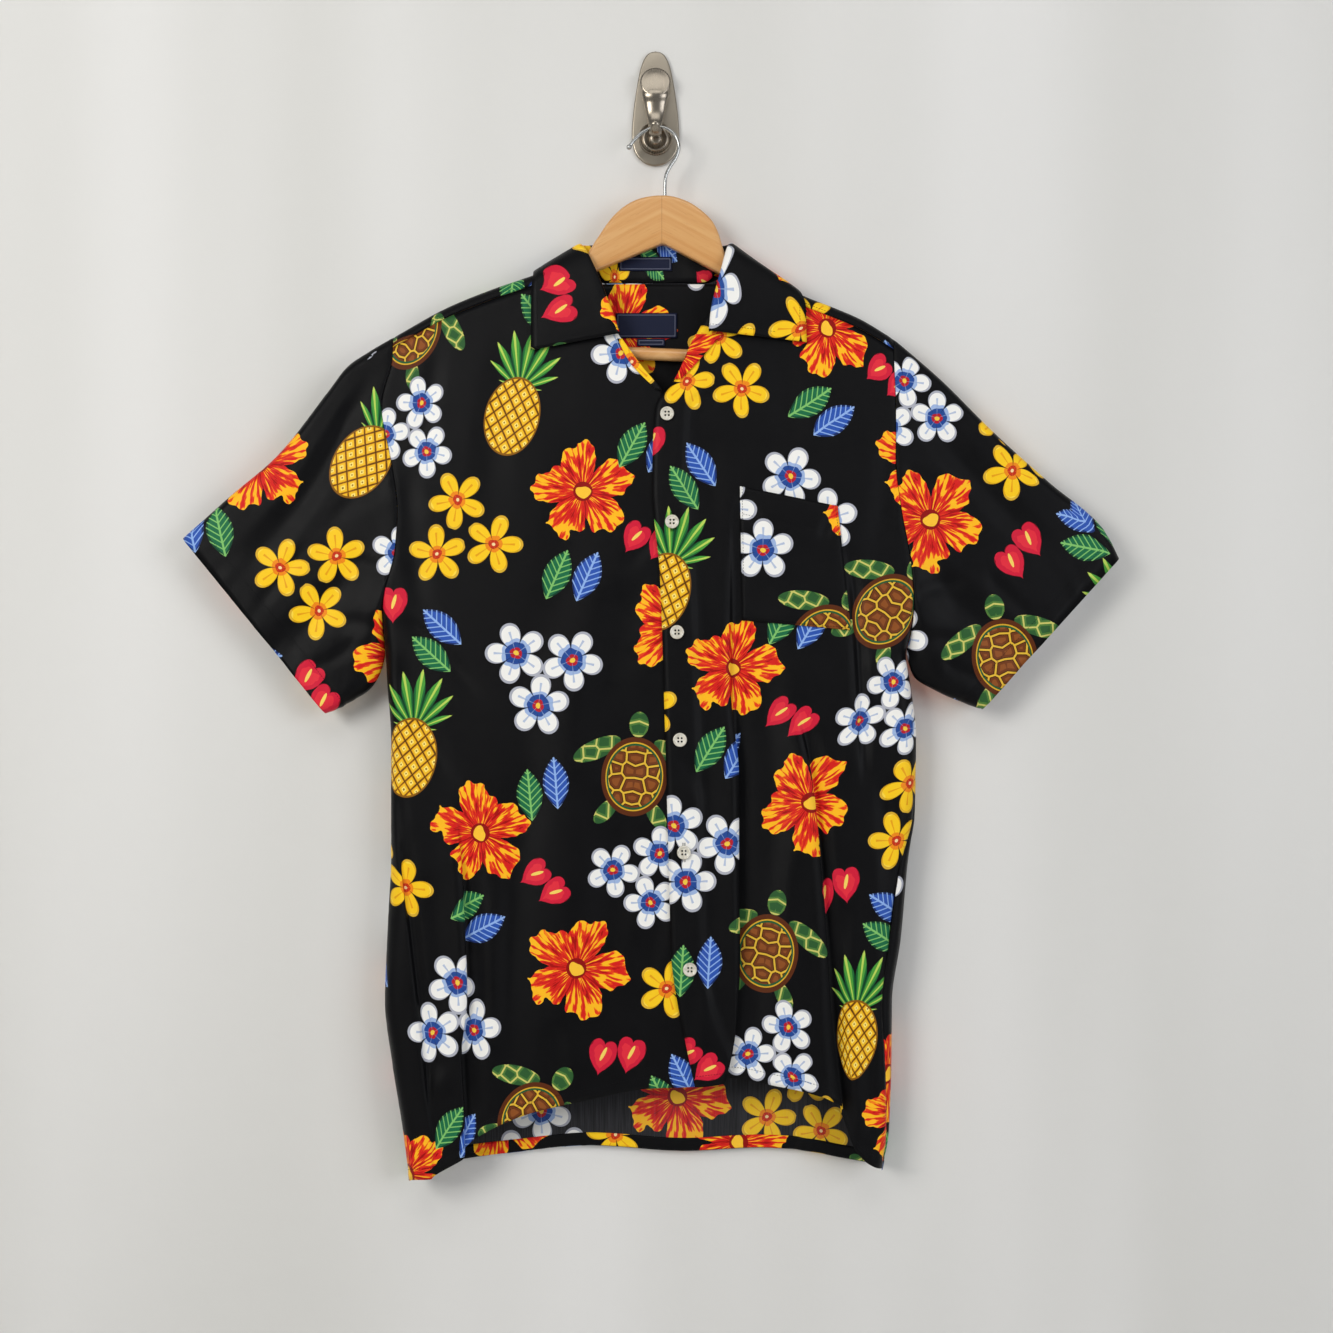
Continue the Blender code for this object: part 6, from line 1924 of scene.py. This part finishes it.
ends = [np.array((row["x"], HANGER_Y, row["z"]), float) for row in BAR_ENDS]
bar_line = [ends[0] + (ends[1] - ends[0]) * share for share in (0, 0.004, 0.25, 0.5, 0.75, 0.996, 1)]
bar_radii = [BAR_WIDE / 2 - 0.8] + [BAR_WIDE / 2] * 5 + [BAR_WIDE / 2 - 0.8]
dress(tube("trouser_bar", bar_line, bar_radii, beech_bar, 32), "varnished_wood", "hanger_bar")

crook = through([(row["x"], HANGER_Y, row["z"]) for row in WIRE], 6)
ball_angles = np.radians([176, 160, 140, 120, 100, 80, 62, 46])[:, None]
ball_line = crook[0] + unit(crook[1] - crook[0]) * BALL_WIDE / 2 * np.cos(ball_angles)
hook_line = np.concatenate([ball_line, crook[2:]])
hook_radii = [*(BALL_WIDE / 2 * np.sin(ball_angles[:, 0])), *[WIRE_WIDE / 2] * len(crook[2:])]
dress(tube("wire_crook", hook_line, hook_radii, bright_wire, 18), "bright_steel", "hanger_hook")
print("the crook's wire is", WIRE_WIDE, "mm thick")

# %% [markdown]
# ## The wall hook
#
# An oval plate lies on the wall. A round disc leans on its upper half, and below the disc a tongue
# narrows, bends out and turns up at its tip, in front of low turned rings. The tongue is a loft: flat
# ovals along a bending line. A dense loft catches the light in smooth streaks, as polished metal does.

# %% Wall hook
PLATE_THICK = 4.0
PLATE = table(
    "z half",
    (52, 0), (50.5, 5.5), (46, 10), (36, 14.0), (20, 17.2), (0, 20.2), (-18, 21.8), (-32, 21.9), (-44, 18.4),
    (-51.5, 11), (-54, 5), (-54.8, 0),
)
PRONG = table(
    "z y half_x half_y",
    (22, -8.6, 11.0, 3.0), (16, -9.4, 12.6, 4.6), (9, -10.3, 12.8, 6.0), (2, -9.6, 10.8, 4.8),
    (-7.5, -9.9, 8.6, 3.6), (-15, -11.6, 7.2, 3.2), (-21.5, -14.9, 6.4, 3.1), (-27.0, -18.8, 5.9, 3.0),
    (-30.0, -24.0, 5.8, 2.9), (-28.9, -29.2, 5.2, 2.7), (-25.2, -33.2, 4.4, 2.4), (-21.5, -35.8, 2.6, 1.6),
)
# the disc's and the turned rings' profiles: radius, and how far out from their foot
DISC_FOOT, DISC_TILT = (0.0, -9.0, 20.0), math.radians(11)
DISC = (
    (11.5, 0.0), (13.2, 0.4), (14.1, 1.4), (14.4, 2.6), (14.1, 3.6), (13.4, 4.2), (12.5, 4.3),
    (10.0, 4.8), (7.0, 5.2), (3.5, 5.4), (1.0, 5.45),
)
RINGS_FOOT = (0.0, -PLATE_THICK, -29.5)
RINGS = (
    (15.8, 0.05), (15.6, 1.0), (15.0, 1.7), (14.2, 1.6), (13.2, 0.8), (12.4, 0.7), (11.7, 1.8),
    (10.8, 2.3), (9.8, 2.1), (8.2, 1.1), (6.2, 1.0), (5.2, 2.6), (4.2, 3.1), (1.0, 3.2),
)
HOOK_SIDES = 56

plate_half = through([(row["half"], row["z"]) for row in PLATE], 5)
plate_loop = [tuple(spot) for spot in plate_half] + [(-x, z) for x, z in plate_half[-2:0:-1]]
plate = rounded_board("hook_plate", plate_loop, -PLATE_THICK, 0.0, 1.6, satin_nickel)
dress(plate, "satin_nickel", "wall_plate")


def tongue():
    """The tongue's ovals, blunt at both ends and never behind the plate's face."""
    line = through([(row["z"], row["y"], row["half_x"], row["half_y"]) for row in PRONG], 6)
    centres = np.stack([0 * line[:, 0], line[:, 1], line[:, 0]], axis=-1)
    blunt = np.ones(len(line))
    blunt[:4], blunt[-4:] = (0.25, 0.6, 0.82, 0.95), (0.95, 0.82, 0.6, 0.25)
    rings = ovals(centres, line[:, 2] * blunt, line[:, 3] * blunt, lambda way: np.array([1.0, 0.0, 0.0]), 40)
    for ring in rings:
        ring[:, 1] = np.minimum(ring[:, 1], -PLATE_THICK - 0.05)
    return rings


hook_skins = [tongue(), lathe(DISC, DISC_FOOT, DISC_TILT, HOOK_SIDES)]
hook_skins.append(lathe(RINGS, RINGS_FOOT, 0.0, HOOK_SIDES))
dress(smooth_solid("hook_tongue", hook_skins, polished_nickel), "satin_nickel", "wall_prong")
print("wall hook made")
# %% [markdown]
# ## Wall, light and camera
#
# The shirt hangs in front of a pale plastered wall that runs out into a pale floor. The wall is stage,
# not part of the object. It can't be seen from behind and lets the light from there through, so that the
# back of the shirt shows in other views. A large soft light stands at the front left, a weaker one at
# the right, and one behind lights the back. The camera stands straight in front, 1.8 m away.

# %% Wall and floor
WALL_HALF, FLOOR_Z, FLOOR_FRONT = 2.6, -1.75, -3.4


def stage_wall():
    """A wall that sweeps down into a floor, one smooth sheet."""
    bend = 0.5
    profile = [(0.0005, 1.6), (0.0005, FLOOR_Z + bend)]
    profile += [
        (0.0005 - bend + bend * math.cos(a), FLOOR_Z + bend - bend * math.sin(a))
        for a in np.linspace(0.1, math.pi / 2, 14)
    ]
    profile.append((FLOOR_FRONT, FLOOR_Z))
    vertices = [(x, y, z) for y, z in profile for x in (-WALL_HALF, WALL_HALF)]
    faces = [(2 * k, 2 * k + 1, 2 * k + 3, 2 * k + 2) for k in range(len(profile) - 1)]
    made = plain_mesh("plain_wall", vertices, faces=faces)
    made.data.shade_smooth()
    return made


def painted_plaster():
    """White wall paint over slightly uneven plaster; clear from behind, and to light from there."""
    made, tree, shader = new_material("painted_plaster", "#d4d3d0", 0.7)
    place = add(tree, "TexCoord", out="Object")
    cloud = place.into("Mapping", {"Scale": (5.0, 1.0, 0.5)}).into("TexNoise", {"Scale": 1.0, "Detail": 1.0})
    colour = cloud.into("ValToRGB", stops=((0.3, "#d0cfcb"), (0.7, "#dedddb")), blend="LINEAR")
    lumps = place.into("TexNoise", {"Scale": 22.0, "Detail": 5.0})
    paint(shader, Base_Color=colour, Normal=raised(lumps, 0.25, 0.003))
    either = add(tree, "NewGeometry", out="Backfacing").larger(add(tree, "LightPath", out="Is Shadow Ray"))
    surface = either.into("MixShader", {1: Field(shader), 2: add(tree, "BsdfTransparent")})
    paint(tree.nodes["Material Output"], Surface=surface)
    return made


wall = stage_wall()
wall.data.materials.append(painted_plaster())
if wall.data.polygons[0].normal.y > 0:
    wall.data.flip_normals()
print("the wall faces", "the camera" if wall.data.polygons[0].normal.y < 0 else "away")

# %% Lights
def area_light(name, place, size, power, colour="#ffffff"):
    """A large soft lamp that points at the chest of the shirt."""
    lamp = bpy.data.lights.new(name, "AREA")
    lamp.shape, lamp.size, lamp.size_y = "RECTANGLE", *size
    lamp.energy, lamp.color = power, hex_colour(colour)[:3]
    made = linked(name, lamp)
    made.location = place
    made.rotation_euler = (Vector(CHEST) - Vector(place)).to_track_quat("-Z", "Y").to_euler()


CHEST = (0.0, -0.03, -0.55)
area_light("window_left", (-1.5, -2.1, 0.15), (1.1, 1.1), 34, "#fffdf8")
area_light("room_right", (1.8, -2.0, -0.2), (1.4, 1.4), 23, "#f8faff")
area_light("ceiling", (0.0, -1.9, 1.4), (2.2, 1.2), 15, "#fffefb")
area_light("behind", (-0.3, 2.3, 0.3), (1.8, 1.8), 40)
world = bpy.data.worlds.new("pale_room")
world.use_nodes = True
seen = add(world.node_tree, "LightPath", out="Is Camera Ray")
strength = seen.into("MapRange", {"To Min": 0.26, "To Max": 0.85})
paint(world.node_tree.nodes["Background"], Color="#dfe2e6", Strength=strength)
bpy.context.scene.world = world
bpy.context.scene.view_settings.view_transform = "Standard"

# %% Camera
camera_data = bpy.data.cameras.new("camera")
camera_data.sensor_width, camera_data.lens = 36.0, 52.2
camera = linked("camera", camera_data)
camera.location = (0.0102, -1.80, -0.520)
camera.rotation_euler = (math.pi / 2, 0, 0)
bpy.context.scene.camera = camera
print("camera at", tuple(round(value, 3) for value in camera.location))
# %% [markdown]
# ## Saying what the cloth is
#
# Every sheet of cloth is listed with the size that it was cut to, laid flat, and with its area where
# the cut isn't a rectangle. Cloth can be stretched by a careless fold without anyone seeing it. A sleeve's
# width is all round. A turned edge or a small label goes with the sheet
# that it is sewn to.

SHEETS = table(
    "piece wide long area hangs_from goes_with",
    ("cloth_front_right", 336.0, 839.3, 209900, "cloth_yoke", "lapel_right_turn"),
    ("cloth_front_left", 278.5, 826.6, 166800, "cloth_yoke", "lapel_left_turn"),
    ("cloth_back", 525.5, 700.3, 338400, "cloth_yoke", "back_hem_turn"),
    ("cloth_yoke", 567.0, 170.2, 60600, "hanger_wood", None),
    ("cloth_sleeve_right", 460.3, 283.8, 77300, "cloth_yoke", None),
    ("cloth_sleeve_left", 441.5, 295.6, 81200, "cloth_yoke", None),
    ("collar_leaf", 414.3, 105.5, 30500, "inner_yoke", None),
    ("inner_yoke", 393.0, 118.7, 41700, "hanger_wood", None),
    ("cloth_pocket", 101.0, 131.0, 11070, "cloth_front_left", None),
    ("neck_label_satin", 56.4, 23.0, 1297, "inner_yoke", "size_tab_satin"),
    ("care_label_satin", 49.0, 13.0, 637, "collar_leaf", None),
)
for row in SHEETS:
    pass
print(len(SHEETS), "sheets declared")
